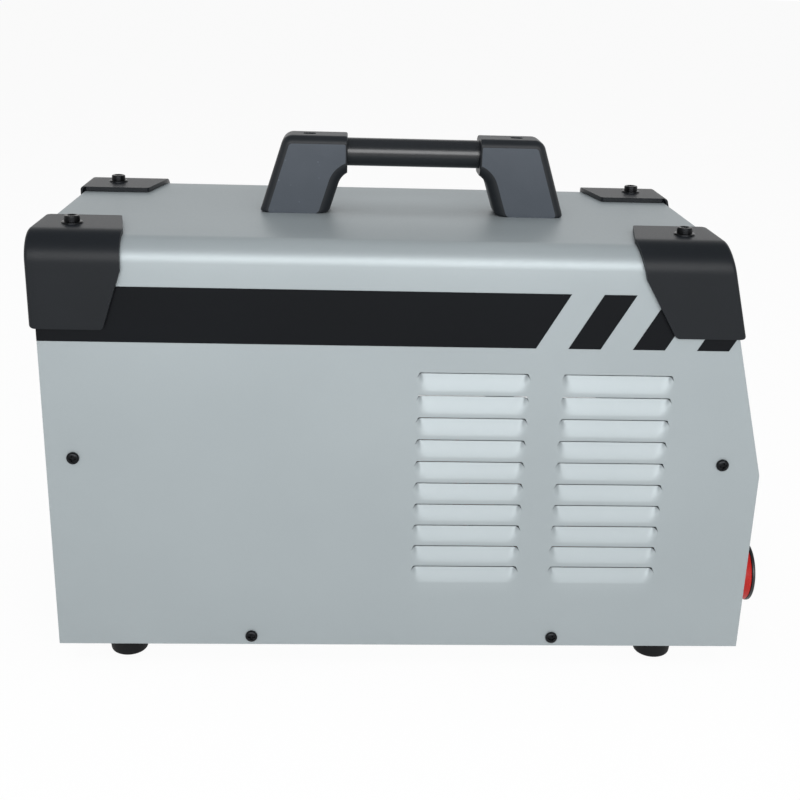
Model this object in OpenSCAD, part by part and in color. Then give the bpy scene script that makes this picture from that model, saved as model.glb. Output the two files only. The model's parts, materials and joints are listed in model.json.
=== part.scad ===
// Capacitor-discharge stud welder: a louvred sheet-steel case on rubber feet, with corner guards,
// a tube handle, a sloping control panel with output sockets below it, and a fan at the rear.
// The case frame has x from the cover's rear edge, y from the middle plane, z from the cover's bottom edge.

/* [Case] */
// Length of the cover from its rear edge to the nose of its front edge
case_l = 470; // [440:1:520]
// Width over the cover's side walls
case_w = 220; // [206:1:260]
// Height of the cover from its bottom edge to its top
case_h = 282; // [274:1:310]
// Height of the sloping part of the front, from the nose to the top
slope_h = 152; // [140:1:166]
// How far the front edge leans back at the top
slope_back = 39.5; // [25:0.5:48]
// Thickness of the cover's sheet
cover_t = 1.2; // [0.8:0.1:1.8]
// Outer radius of the cover's long top bends
bend_r = 15; // [11:0.5:20]
// Thickness of the base tray's sheet
tray_t = 1.5; // [1:0.1:2.5]
// Height of the tray's side flanges
tray_flange = 18; // [14:1:30]
// Thickness of the front and rear panels
panel_t = 1.5; // [1:0.1:2.5]
// Depth of the flanges round the front and rear panels
panel_flange = 30; // [28:1:34]
// How far the panels sit back from the cover's edges
panel_recess = 4; // [3:0.5:6]

/* [Louvres] */
// Columns on each side
louvre_columns = 2; // [1:1:2]
// Length of one louvre
louvre_w = 73.4; // [40:0.2:76]
// Height of the drawn flap
louvre_h = 13; // [8:0.5:14]
// Depth of the flap's upper lip behind the sheet's outer face
louvre_lip = 3.2; // [2.4:0.1:4.5]
// Distance from one louvre to the next below it
louvre_pitch = 15.3; // [14.5:0.1:17]
// Drop of the top row's lip below the top of the case
louvre_drop = 83; // [78:0.2:92]
// Least height of plain sheet below the lowest row
louvre_low = 48; // [36:1:90]
// Distance of the front column from the nose
louvre_front = 64.1; // [60:0.1:80]
// Gap between the columns
louvre_gap = 20; // [14:0.2:26]

/* [Stripe] */
// Drop of the stripe's lower edge below the top of the case
stripe_drop = 65.7; // [62:0.1:70]
// Height of the stripe
stripe_h = 35.9; // [25:0.1:40]
// How far the slanted ends lean over the stripe's height
stripe_slant = 20.5; // [10:0.5:30]
// Length of a slanted bar and of the gap before it
stripe_bar = 20.75; // [12:0.25:24]
// Distance of the long band's front end from the nose, at its lower edge
stripe_front = 155.5; // [140:0.5:190]
// Thickness of the film
film_t = 0.15; // [0.1:0.05:0.25]

/* [Corner guards] */
// Wall of a guard, measured from the cover
guard_wall = 3.5; // [2.5:0.1:5]
// Length of a guard along the case
guard_l = 54.3; // [50:0.1:70]
// Length of a guard along its lower edge
guard_foot_l = 42; // [30:1:48]
// Drop of a guard's lower edge below the top of the case
guard_drop = 57; // [48:1:64]
// Drop at which the inner edge starts to run back to the lower edge
guard_knee_drop = 19.5; // [17:0.5:30]
// Reach of a guard over the top of the case
guard_reach = 57; // [44:1:62]
// Length of a guard along its edge on top
guard_top_l = 46.5; // [36:0.5:48]
// How far a guard's end wall reaches in past the cover's sheet
guard_lip = 5; // [3:0.5:7]
// Distance of a guard's screw from the end of the case
guard_screw_end = 20; // [16:1:26]
// Distance of a guard's screw from the side of the case
guard_screw_side = 30; // [26:1:36]

/* [Handle] */
// How far the handle's middle lies in front of the case's middle
handle_shift = 3; // [-10:0.2:12]
// Clear length of the grip between the posts
grip_l = 90.6; // [80:0.2:110]
// Diameter of the grip tube
tube_d = 19; // [16:0.5:22]
// Wall of the grip tube
tube_wall = 1.5; // [1:0.1:2.5]
// Height of the tube's axis above the case
tube_h = 40.6; // [38:0.2:44]
// Height of the posts above the case
post_h = 52.4; // [52:0.2:60]
// Width of the posts across the case
post_w = 31; // [28:0.5:38]
// Outer half-length of the handle at its foot
post_foot_out = 105.2; // [98:0.1:112]
// Inner half-length of the handle at its foot
post_foot_in = 57.7; // [54:0.1:72]
// Outer half-length of the handle at its top
post_top_out = 88.3; // [80:0.1:92]

/* [Feet] */
// Height of the rubber feet
foot_h = 15; // [10:0.5:25]
// Diameter of a foot where it meets the tray
foot_d = 28; // [24:0.5:36]
// Diameter of a foot at the ground
foot_base_d = 25; // [22:0.5:30]
// Rear feet's distance from the cover's rear edge
foot_rear_x = 43.7; // [38:0.1:60]
// Front feet's distance from the cover's front edge
foot_front_x = 54.5; // [40:0.1:70]
// Feet's distance from the cover's sides
foot_side = 21; // [20:0.5:30]

/* [Output sockets] */
// Outer diameter of a socket's barrel
socket_d = 42; // [36:0.5:46]
// Reach of a socket in front of the panel
socket_l = 24.4; // [20:0.2:32]
// Diameter of the bore that takes the plug's pin
contact_bore_d = 13; // [9:0.1:14]
// Depth of that bore
contact_bore_l = 28; // [20:1:32]
// Diameter of the mouth in front of the contact
socket_mouth_d = 29; // [24:0.5:32]
// Sockets' distance from the middle of the panel
socket_y = 55; // [48:0.5:62]
// Height of the sockets' axes
socket_z = 31; // [28:0.5:38]

/* [Controls] */
// Diameter of the voltage knob's skirt
knob_d = 38; // [30:0.5:42]
// Height of the voltage knob
knob_h = 18; // [14:0.5:24]
// Knob's and buttons' place up the slope from the nose
knob_up_share = 0.2292; // [0.21:0.002:0.25]
// Lamps' place up the slope from the nose
lamp_up_share = 0.4839; // [0.46:0.002:0.5]
// Spacing of the lamps
lamp_pitch = 36; // [24:1:44]
// Diameter of a lamp's lens
lamp_d = 8; // [5:0.5:10]
// Meter's place up the slope from the nose
meter_up_share = 0.7132; // [0.68:0.002:0.72]
// Width of the meter's bezel
meter_w = 76; // [60:1:90]
// Height of the meter's bezel
meter_h = 40; // [32:0.5:42]
// Diameter of a push button's cap
button_d = 15; // [12:0.5:18]
// Travel of a push button
button_travel = 2.5; // [1.5:0.1:3.5]
// Buttons' distance from the middle of the panel
button_y = 62; // [50:1:70]

/* [Rear] */
// Side of the square fan frame
fan_size = 120; // [92:1:120]
// Depth of the fan frame
fan_depth = 25; // [22:1:38]
// Gap between the fan's frame and the top of the case
fan_top_gap = 44; // [30:1:60]
// Wire diameter of the finger guard
wire_d = 2.4; // [1.6:0.1:3]
// Blades on the fan
blades = 7; // [5:1:9]
// Place of the mains switch and inlet in the height below the fan
mains_up_share = 0.4915; // [0.4:0.005:0.55]
// Distance of the mains switch and inlet from the middle of the panel
mains_y = 48; // [30:1:60]
// Swing of the mains rocker between off and on
rocker_swing = 22; // [14:1:26]

/* [Inside] */
// Diameter of a capacitor can
can_d = 64; // [50:1:66]
// Height of a capacitor can
can_h = 105; // [80:1:115]
// Gap between the cans
can_gap = 6; // [4:0.5:10]
// Clear length behind the cans, for the fan and the inlet
can_rear = 46; // [42:1:52]
// Length of the charging transformer's core
core_l = 84; // [76:1:90]
// Clear length in front of the core
core_front = 42; // [40:1:50]

/* [Hidden] */
$fn = 64;
hull_fn = 32;
arc_steps = 6;
overrun = 1;
sheet_fit = 0.2;
hole_fit = 0.25;
shaft_fit = 0.05;
slide_fit = 0.3;

nose_h = case_h - slope_h;
slope_angle = atan(slope_back / slope_h);
slope_l = norm([slope_back, slope_h]);
knob_up = slope_l * knob_up_share;
lamp_up = slope_l * lamp_up_share;
meter_up = slope_l * meter_up_share;
fan_z = case_h - fan_top_gap - fan_size / 2;
mains_z = (fan_z - fan_size / 2) * mains_up_share;
handle_x = case_l / 2 + handle_shift;
origin_x = (case_l - panel_recess + socket_l - guard_wall) / 2;
inner_inset = cover_t + sheet_fit;
panel_face = case_l - panel_recess;

// x of the cover's front edge at a height
function front_x(z) = case_l - slope_back * max(0, z - nose_h) / slope_h;

function unit(v) = v / norm(v);

// Points of the arc that rounds the corner p between its neighbours a and b
function corner_arc(a, p, b, r) =
    let (
        u = unit(a - p),
        w = unit(b - p),
        half = acos(u * w) / 2,
        c = p + unit(u + w) * r / sin(half),
        s = p + u * r / tan(half) - c,
        e = p + w * r / tan(half) - c,
        start = atan2(s.y, s.x),
        sweep = atan2(e.y, e.x) - start,
        turn = sweep - 360 * round(sweep / 360)
    )
    [for (i = [0 : arc_steps]) let (at = start + turn * i / arc_steps) c + r * [cos(at), sin(at)]];

// An outline with each corner rounded to its own radius; zero keeps the corner sharp
function rounded(points, radii) =
    let (n = len(points))
    [for (i = [0 : n - 1])
        each radii[i] == 0 ? [points[i]] :
            corner_arc(points[(i + n - 1) % n], points[i], points[(i + 1) % n], radii[i])];

// Moves a piece from the case frame to the part's own frame
module in_frame() {
    translate([-origin_x, 0, foot_h]) children();
}

// Extrudes an outline drawn in y and z along the case
module along_x(from, to) {
    translate([from, 0, 0]) rotate([90, 0, 90]) linear_extrude(to - from) children();
}

// Extrudes an outline drawn in x and z across the case
module across(from, to) {
    translate([0, to, 0]) rotate([90, 0, 0]) linear_extrude(to - from) children();
}

// Frame on the vertical lower front panel: x to the right, y up, z out of the panel
module on_lower_front(right, up) {
    translate([panel_face, right, up]) rotate([90, 0, 90]) children();
}

// Frame on the sloping front panel, from the nose: x to the right, y up the slope, z out of the panel
module on_slope(right, up) {
    translate([panel_face, 0, nose_h]) rotate([0, -slope_angle, 0]) rotate([90, 0, 90])
        translate([right, up, 0]) children();
}

// Frame on the rear panel: x to the right seen from behind, y up, z out of the panel
module on_rear(right, up) {
    translate([panel_recess, -right, up]) rotate([90, 0, -90]) children();
}

module rounded_rect(w, h, r) {
    polygon(rounded([[-w / 2, -h / 2], [w / 2, -h / 2], [w / 2, h / 2], [-w / 2, h / 2]], [r, r, r, r]));
}

// Section of the case, set in from the cover's outer face, above a given height
module case_section(inset, low) {
    r = bend_r - inset;
    half = case_w / 2 - inset;
    top = case_h - inset;
    translate([-half, low]) square([2 * half, top - r - low]);
    translate([r - half, low]) square([2 * (half - r), top - low]);
    for (side = [-1, 1]) translate([side * (half - r), top - r]) circle(r);
}

// Screws

cover_screw_d = 4;
cover_screw_head_d = 8.2;
cover_screw_head_h = 2.6;
cover_screw_l = 9;
cross_slot_w = 1.1;
cross_slot_l = 4.6;
cross_slot_h = 1.5;
upper_screw_rise = 7.5;
upper_screw_z = nose_h + upper_screw_rise;
rear_screw_x = 17.65;
front_screw_inset = 26;
lower_screw_z = 6.75;
lower_screw_rear_x = 131.1;
lower_screw_front_x = 131.3;
cover_screw_places = [
    [rear_screw_x, upper_screw_z], [case_l - front_screw_inset, upper_screw_z],
    [lower_screw_rear_x, lower_screw_z], [case_l - lower_screw_front_x, lower_screw_z]
];
head_dome_share = 0.35;

// A pan-head screw with a cross recess, its head on z = 0 and its shank below
module pan_screw(d, head_d, head_h, l) {
    edge = head_h * (1 - head_dome_share);
    difference() {
        union() {
            cylinder(d = head_d, h = edge);
            translate([0, 0, edge])
                cylinder(d1 = head_d, d2 = head_d * (1 - head_dome_share), h = head_h - edge);
            translate([0, 0, -l]) cylinder(d = d, h = l);
        }
        for (turn = [0, 90])
            translate([0, 0, head_h - cross_slot_h]) rotate([0, 0, turn])
                linear_extrude(cross_slot_h + overrun) square([cross_slot_l, cross_slot_w], center = true);
    }
}

// A socket-head cap screw with a hexagon recess, its head on z = 0 and its shank below
module cap_screw(d, head_d, head_h, key, l) {
    difference() {
        union() {
            cylinder(d = head_d, h = head_h);
            translate([0, 0, -l]) cylinder(d = d, h = l);
        }
        translate([0, 0, head_h / 2]) cylinder(d = key, h = head_h, $fn = 6);
    }
}

module at_cover_screws() {
    for (side = [0, 1]) mirror([0, side, 0])
        for (place = cover_screw_places)
            translate([place.x, -case_w / 2, place.y]) rotate([90, 0, 0]) children();
}

module cover_screw_holes() {
    at_cover_screws() translate([0, 0, -cover_screw_l - overrun])
        cylinder(d = cover_screw_d + 2 * hole_fit, h = cover_screw_l + 2 * overrun);
}

module cover_screws() {
    color("black") at_cover_screws()
        pan_screw(cover_screw_d, cover_screw_head_d, cover_screw_head_h, cover_screw_l);
}

// Base tray and feet

foot_screw_d = 5;
foot_screw_head_d = 9;
foot_screw_head_h = 3.2;
foot_screw_sink = 6;
foot_screw_pocket_d = 12;
foot_round = 2.5;
tray_end_fit = 1;
foot_places = [
    [foot_rear_x, -case_w / 2 + foot_side], [foot_rear_x, case_w / 2 - foot_side],
    [case_l - foot_front_x, -case_w / 2 + foot_side], [case_l - foot_front_x, case_w / 2 - foot_side]
];

module at_feet() {
    for (place = foot_places) translate([place.x, place.y, 0]) children();
}

module base_tray() {
    half = case_w / 2 - inner_inset;
    flange_from = panel_recess + panel_flange + tray_end_fit;
    flange_to = panel_face - panel_flange - tray_end_fit;
    color("darkgray") difference() {
        union() {
            translate([panel_recess, -half, 0]) cube([panel_face - panel_recess, 2 * half, tray_t]);
            for (side = [0, 1]) mirror([0, side, 0])
                translate([flange_from, -half, 0]) cube([flange_to - flange_from, tray_t, tray_flange]);
        }
        cover_screw_holes();
        at_feet() translate([0, 0, -overrun])
            cylinder(d = foot_screw_d + 2 * hole_fit, h = tray_t + 2 * overrun);
    }
}

module foot() {
    bore = foot_screw_d / 2 + hole_fit;
    pocket = foot_screw_pocket_d / 2;
    ledge = foot_screw_sink - foot_h;
    profile = rounded(
        [[foot_d / 2, 0], [foot_base_d / 2, -foot_h], [pocket, -foot_h], [pocket, ledge],
         [bore, ledge], [bore, 0]],
        [0, foot_round, 0, 0, 0, 0]);
    color("dimgray") rotate_extrude() polygon(profile);
}

module foot_at(index) {
    translate([foot_places[index].x, foot_places[index].y, 0]) foot();
}

module foot_rear_near() {
    foot_at(0);
}

module foot_rear_far() {
    foot_at(1);
}

module foot_front_near() {
    foot_at(2);
}

module foot_front_far() {
    foot_at(3);
}

module foot_screws() {
    grip = foot_h - foot_screw_sink + 2 * tray_t;
    color("silver") at_feet() translate([0, 0, foot_screw_sink - foot_h]) rotate([180, 0, 0])
        pan_screw(foot_screw_d, foot_screw_head_d, foot_screw_head_h, grip);
}

// Front and rear panels: pans with flanges that the cover is screwed to

meter_frame_w = 4;
meter_box_w = meter_w - 2 * meter_frame_w;
meter_box_h = meter_h - 2 * meter_frame_w;
pot_bush_d = 9;
button_guide_wall = 2;
button_guide_d = button_d + 2 * slide_fit + 2 * button_guide_wall;
socket_neck_d = 30;
gun_z = socket_z;
gun_thread_d = 16;
lamp_step = 0.5;
lamp_neck_d = lamp_d - 2 * lamp_step;
lamp_places = [-lamp_pitch, 0, lamp_pitch];
board_w = 160;
board_back = 26;
board_low = 14;
board_high = 25;
board_h = slope_l - board_low - board_high;
spacer_d = 7;
spacer_inset = 8;
spacer_screw_d = 3;
spacer_places = [
    for (side = [-1, 1]) for (up = [board_low + spacer_inset, board_low + board_h - spacer_inset])
        [side * (board_w / 2 - spacer_inset), up]
];
fan_round = 6;
fan_wall = 2.5;
fan_bore_d = fan_size - 2 * fan_wall;
fan_hole_inset = 7.5;
fan_hole_pitch = fan_size - 2 * fan_hole_inset;
fan_screw_d = 4;
fan_screw_head_d = 8;
fan_screw_head_h = 2.6;
fan_corner_places = [for (right = [-1, 1]) for (up = [-1, 1]) [right, up] * fan_hole_pitch / 2];
switch_box_w = 22;
switch_box_h = 28;
inlet_box_w = 27.6;
inlet_box_h = 20;
box_round = 1.5;

module front_slab(back, front) {
    across(-case_w, case_w) polygon([
        [panel_face - back, 0], [panel_face - front, 0], [panel_face - front, nose_h],
        [front_x(case_h) - panel_recess - front, case_h], [front_x(case_h) - panel_recess - back, case_h],
        [panel_face - back, nose_h]]);
}

module panel_section(inset, floor) {
    case_section(inner_inset + inset, tray_t + floor);
}

module front_panel() {
    color("silver") difference() {
        intersection() {
            along_x(0, case_l) panel_section(0, 0);
            front_slab(panel_flange, 0);
        }
        intersection() {
            along_x(0, case_l) panel_section(panel_t, panel_t);
            front_slab(panel_flange + overrun, panel_t);
        }
        for (side = [-1, 1]) on_lower_front(side * socket_y, socket_z) panel_hole(socket_neck_d);
        on_lower_front(0, gun_z) panel_hole(gun_thread_d);
        on_slope(0, knob_up) panel_hole(pot_bush_d);
        for (side = [-1, 1]) on_slope(side * button_y, knob_up) panel_hole(button_guide_d);
        for (place = lamp_places) on_slope(place, lamp_up) panel_hole(lamp_neck_d);
        on_slope(0, meter_up) panel_slot(meter_box_w, meter_box_h);
        for (place = spacer_places) on_slope(place.x, place.y) panel_hole(spacer_screw_d);
        cover_screw_holes();
        guard_screw_holes();
    }
}

module panel_slot(w, h) {
    translate([0, 0, -panel_t - overrun])
        linear_extrude(panel_t + 2 * overrun) square([w, h] + 2 * hole_fit * [1, 1], center = true);
}

module panel_hole(d) {
    translate([0, 0, -panel_t - overrun]) cylinder(d = d + 2 * hole_fit, h = panel_t + 2 * overrun);
}

module rear_panel() {
    color("silver") difference() {
        along_x(panel_recess, panel_recess + panel_flange) panel_section(0, 0);
        along_x(panel_recess + panel_t, panel_recess + panel_flange + overrun)
            panel_section(panel_t, panel_t);
        on_rear(0, fan_z) panel_hole(fan_bore_d);
        for (place = fan_corner_places) on_rear(place.x, fan_z + place.y) panel_hole(fan_screw_d);
        on_rear(mains_y, mains_z) panel_slot(switch_box_w, switch_box_h);
        on_rear(-mains_y, mains_z) panel_slot(inlet_box_w, inlet_box_h);
        cover_screw_holes();
        guard_screw_holes();
    }
}

// Top cover: one sheet bent over the case, with louvres pressed into both sides

louvre_end_share = 1.3;
louvre_end = louvre_lip * louvre_end_share;
louvre_top = case_h - louvre_drop;
louvre_rows = 1 + floor((louvre_top - louvre_low - louvre_h) / louvre_pitch);
louvre_step = louvre_w + louvre_gap;
louvre_x = case_l - louvre_front - louvre_w - (louvre_columns - 1) * louvre_step;

// Rows of louvre profiles drawn in y and z on the near side wall
module louvre_profiles(points) {
    for (row = [0 : louvre_rows - 1])
        translate([-case_w / 2, louvre_top - row * louvre_pitch]) polygon(points);
}

// Columns of louvres on both sides: a profile across the wall, ended by a plan drawn along the wall
module louvre_blocks(profile, plan) {
    for (side = [0, 1]) mirror([0, side, 0])
        for (column = [0 : louvre_columns - 1])
            translate([louvre_x + column * louvre_step, 0, 0]) intersection() {
                along_x(-cover_t, louvre_w + cover_t) louvre_profiles(profile);
                linear_extrude(case_h) translate([0, -case_w / 2]) polygon(plan);
            }
}

// Sheet of the flaps and of their slanting ends, behind the wall
module louvre_skins() {
    back = louvre_lip + cover_t;
    louvre_blocks(
        [[cover_t / 2, 0], [back, 0], [cover_t, -louvre_h], [cover_t / 2, -louvre_h]],
        [
            [-cover_t, 0], [-cover_t, cover_t], [louvre_end - cover_t, back],
            [louvre_w - louvre_end + cover_t, back], [louvre_w + cover_t, cover_t], [louvre_w + cover_t, 0]]);
}

// Room in front of the flaps, open at the top behind the wall
module louvre_hollows() {
    louvre_blocks(
        [
            [-overrun, 0], [cover_t, 0], [cover_t, overrun], [louvre_lip, overrun], [louvre_lip, 0],
            [0, -louvre_h], [-overrun, -louvre_h]],
        [
            [0, -overrun], [0, 0], [louvre_end, louvre_lip],
            [louvre_w - louvre_end, louvre_lip], [louvre_w, 0], [louvre_w, -overrun]]);
}

module cover_side() {
    polygon([[0, 0], [case_l, 0], [case_l, nose_h], [case_l - slope_back, case_h], [0, case_h]]);
}

module top_cover() {
    color("lightsteelblue") difference() {
        union() {
            intersection() {
                along_x(0, case_l) difference() {
                    case_section(0, 0);
                    case_section(cover_t, -overrun);
                }
                across(-case_w, case_w) cover_side();
            }
            louvre_skins();
        }
        louvre_hollows();
        cover_screw_holes();
        guard_screw_holes();
        at_handle_screws() translate([0, 0, -cover_t - overrun])
            cylinder(d = handle_screw_d + 2 * hole_fit, h = cover_t + 2 * overrun);
    }
}

// Stripe film: a long band and slanted bars, cut off at the cover's front edge

stripe_z = case_h - stripe_drop;
stripe_end = case_l - stripe_front;

module stripe_outline() {
    lean = [stripe_slant, stripe_h];
    band = [[0, 0], [stripe_end, 0], [stripe_end, 0] + lean, [0, stripe_h]];
    translate([0, stripe_z]) polygon(band);
    for (bar = [1 : 2 : 2 * ceil(case_l / stripe_bar)]) {
        from = [stripe_end + bar * stripe_bar, 0];
        to = [stripe_end + (bar + 1) * stripe_bar, 0];
        if (from.x < front_x(stripe_z))
            translate([0, stripe_z]) polygon([from, to, to + lean, from + lean]);
    }
}

module stripe() {
    color("black") across(-case_w / 2 - film_t, -case_w / 2) intersection() {
        stripe_outline();
        cover_side();
    }
}

module stripe_near() {
    stripe();
}

module stripe_far() {
    mirror([0, 1, 0]) stripe();
}

// Corner guards: moulded shells over the four upper corners of the cover

guard_fit = 0.3;
guard_screw_d = 6;
guard_screw_head_d = 10;
guard_screw_head_h = 3.8;
guard_screw_key = 5;
guard_screw_l = 18;
washer_d = 13.5;
washer_t = 1;
guard_round = 2;

// x at a distance in from the end of the cover, at a height
function from_end(front, distance, z) = front ? front_x(z) - distance : distance;

function guard_outline(front) =
    let (
        low = case_h - guard_drop,
        knee = case_h - guard_knee_drop,
        high = case_h + guard_wall,
        points = [
            [-guard_wall, low], [guard_foot_l, low], [guard_l, knee], [guard_l, high], [-guard_wall, high]],
        placed = [for (p = points) [from_end(front, p.x, p.y), p.y]]
    )
    rounded(placed, [guard_round, guard_round, guard_round, 0, 0]);

function guard_plan(front) =
    let (
        edge = -case_w / 2,
        outer = front ? case_l + guard_wall : -guard_wall,
        inner = edge + guard_reach,
        far = from_end(front, guard_l, case_h),
        near = from_end(front, guard_top_l, case_h),
        points = [
            [far, edge - guard_wall], [far, edge + bend_r], [near, inner], [outer, inner],
            [outer, edge - guard_wall]]
    )
    rounded(points, [0, guard_round, guard_round, 0, 0]);

module guard_end_slab(front) {
    low = case_h - guard_drop;
    high = case_h + guard_wall;
    across(-case_w, case_w) polygon([
        [from_end(front, -guard_wall, low), low], [from_end(front, -guard_fit, low), low],
        [from_end(front, -guard_fit, high), high], [from_end(front, -guard_wall, high), high]]);
}

module corner_guard(front) {
    from = front ? case_l / 2 : -guard_wall;
    to = front ? case_l + guard_wall : case_l / 2;
    color("dimgray") difference() {
        intersection() {
            union() {
                along_x(from, to) difference() {
                    case_section(-guard_wall, 0);
                    case_section(-guard_fit, -overrun);
                }
                intersection() {
                    along_x(from, to) difference() {
                        case_section(-guard_wall, 0);
                        case_section(guard_lip, -overrun);
                    }
                    guard_end_slab(front);
                }
            }
            across(-case_w, 0) polygon(guard_outline(front));
            linear_extrude(case_h + 2 * guard_wall) polygon(guard_plan(front));
        }
        guard_screw_holes();
    }
}

module corner_guard_front_near() {
    corner_guard(true);
}

module corner_guard_front_far() {
    mirror([0, 1, 0]) corner_guard(true);
}

module corner_guard_rear_near() {
    corner_guard(false);
}

module corner_guard_rear_far() {
    mirror([0, 1, 0]) corner_guard(false);
}

// The four places on top of the guards where their screws sit
module at_guard_screws() {
    out = case_w / 2 - guard_screw_side;
    for (front = [false, true]) for (side = [-1, 1])
        translate([from_end(front, guard_screw_end, case_h), side * out, case_h + guard_wall]) children();
}

module guard_screw_holes() {
    at_guard_screws() translate([0, 0, -guard_screw_l])
        cylinder(d = guard_screw_d + 2 * hole_fit, h = guard_screw_l + overrun);
}

module guard_screws() {
    color("black") at_guard_screws() {
        difference() {
            cylinder(d = washer_d, h = washer_t);
            translate([0, 0, -overrun])
                cylinder(d = guard_screw_d + 2 * hole_fit, h = washer_t + 2 * overrun);
        }
        translate([0, 0, washer_t])
            cap_screw(guard_screw_d, guard_screw_head_d, guard_screw_head_h, guard_screw_key, guard_screw_l);
    }
}

// Handle: two moulded posts joined by a steel tube

post_round = 7;
post_top_round = 8;
hook_wall = 2;
hook_fillet = 13;
tube_seat = 16;
tube_fit = 0.15;
handle_screw_d = 5;
handle_screw_head_d = 8.5;
handle_screw_head_h = 5;
handle_screw_key = 4;
handle_screw_sink = 6.5;
handle_screw_in = 17;
handle_screw_u = post_top_out - handle_screw_in;
hook_h = tube_h - tube_d / 2 - hook_wall;
slab_t = 1;
post_lean = (post_foot_out - post_top_out) / post_h;

// The two ends of the handle, seen from its middle
module at_handle_ends() {
    for (turn = [0, 180]) translate([handle_x, 0, case_h]) rotate([0, 0, turn]) children();
}

module at_handle_screws() {
    at_handle_ends() translate([handle_screw_u, 0, 0]) children();
}

// Leaning leg with rounded edges; its inner face runs parallel to its outer one
module post_leg() {
    foot_l = post_foot_out - post_foot_in;
    rise = post_h - post_top_round;
    hull() {
        translate([(post_foot_in + post_foot_out) / 2, 0, 0])
            linear_extrude(slab_t) rounded_rect(foot_l, post_w, post_round);
        translate([(post_foot_in + post_foot_out) / 2 - post_lean * rise, 0, rise - slab_t])
            linear_extrude(slab_t) rounded_rect(foot_l, post_w, post_round);
        for (side = [-1, 1])
            translate([post_top_out - post_top_round, side * (post_w / 2 - post_top_round), rise])
                sphere(post_top_round, $fn = hull_fn);
    }
}

// Head that holds the end of the tube, rounded over on top
module post_head() {
    inner = grip_l / 2;
    low = hook_h + post_round;
    high = post_h - post_top_round;
    hull() {
        for (side = [-1, 1]) {
            translate([inner, side * (post_w / 2 - post_top_round), high]) rotate([0, 90, 0])
                cylinder(r = post_top_round, h = post_top_out - post_top_round - inner, $fn = hull_fn);
            translate([post_top_out - post_top_round, side * (post_w / 2 - post_top_round), high])
                sphere(post_top_round, $fn = hull_fn);
            translate([inner, side * (post_w / 2 - post_round), low]) rotate([0, 90, 0])
                cylinder(r = post_round, h = post_foot_in - inner, $fn = hull_fn);
        }
    }
}

// Web that carries the underside of the head round into the leg
module post_web() {
    lean_l = norm([1, post_lean]);
    centre_h = hook_h - hook_fillet;
    centre_u = post_foot_in - post_lean * centre_h - hook_fillet * lean_l;
    from = max(centre_u, grip_l / 2);
    across(post_round - post_w / 2, post_w / 2 - post_round) difference() {
        polygon([
            [from, hook_h + post_round], [post_foot_in, hook_h + post_round],
            [post_foot_in - post_lean * centre_h + post_round, centre_h], [from, centre_h]]);
        translate([centre_u, centre_h]) circle(hook_fillet);
    }
}

module handle_post() {
    color("dimgray") difference() {
        union() {
            post_leg();
            post_head();
            post_web();
        }
        translate([0, 0, tube_h]) rotate([0, 90, 0])
            cylinder(d = tube_d + 2 * tube_fit, h = grip_l / 2 + tube_seat);
        translate([handle_screw_u, 0, -overrun]) cylinder(d = handle_screw_d + 2 * hole_fit, h = post_h);
        translate([handle_screw_u, 0, post_h - handle_screw_sink])
            cylinder(d = handle_screw_head_d + 2 * hole_fit, h = handle_screw_sink + overrun);
    }
}

module handle_post_front() {
    translate([handle_x, 0, case_h]) handle_post();
}

module handle_post_rear() {
    translate([handle_x, 0, case_h]) rotate([0, 0, 180]) handle_post();
}

module handle_tube() {
    l = grip_l + 2 * tube_seat - 2 * tube_fit;
    color("black") translate([handle_x - l / 2, 0, case_h + tube_h]) rotate([0, 90, 0]) difference() {
        cylinder(d = tube_d, h = l);
        translate([0, 0, -overrun]) cylinder(d = tube_d - 2 * tube_wall, h = l + 2 * overrun);
    }
}

module handle_screws() {
    grip = post_h - handle_screw_sink + 2 * handle_screw_d;
    color("black") at_handle_screws() translate([0, 0, post_h - handle_screw_sink])
        cap_screw(handle_screw_d, handle_screw_head_d, handle_screw_head_h, handle_screw_key, grip);
}

// Cooling fan, drawn on the rear panel with z out of the panel

fan_hub_d = 40;
fan_boss_t = 5;
fan_strut_w = 6;
fan_struts = 3;
fan_tip_gap = 1;
fan_axial_gap = 1.5;
fan_shaft_d = 3;
blade_t = 1.6;
blade_pitch = 38;
blade_h = fan_depth - fan_boss_t - 2 * fan_axial_gap;
fan_back = -panel_t - fan_depth;
fan_screw_grip = 10;
wire_rings = 5;
wire_weld_share = 0.7;
eye_r = fan_screw_d / 2 + 2 * hole_fit + wire_d / 2;
eye_t_share = 0.8;
eye_t = wire_d * eye_t_share;

module fan_frame() {
    color("dimgray") on_rear(0, fan_z) translate([0, 0, fan_back]) {
        difference() {
            linear_extrude(fan_depth) rounded_rect(fan_size, fan_size, fan_round);
            translate([0, 0, -overrun]) cylinder(d = fan_bore_d, h = fan_depth + 2 * overrun);
            for (place = fan_corner_places) translate([place.x, place.y, -overrun])
                cylinder(d = fan_screw_d + 2 * hole_fit, h = fan_depth + 2 * overrun);
        }
        difference() {
            union() {
                cylinder(d = fan_hub_d, h = fan_boss_t);
                for (strut = [1 : fan_struts])
                    rotate([0, 0, strut * 360 / fan_struts]) translate([0, -fan_strut_w / 2, 0])
                        cube([(fan_bore_d + fan_wall) / 2, fan_strut_w, fan_boss_t]);
            }
            translate([0, 0, -overrun])
                cylinder(d = fan_shaft_d + 2 * shaft_fit, h = fan_boss_t + 2 * overrun);
        }
    }
}

module fan_blade() {
    chord = (blade_h - blade_t) / sin(blade_pitch);
    intersection() {
        difference() {
            cylinder(d = fan_bore_d - 2 * fan_tip_gap, h = blade_h);
            cylinder(d = fan_hub_d - blade_t, h = blade_h);
        }
        translate([0, 0, blade_h / 2]) rotate([blade_pitch, 0, 0])
            translate([0, -chord / 2, -blade_t / 2]) cube([fan_bore_d / 2, chord, blade_t]);
    }
}

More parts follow.
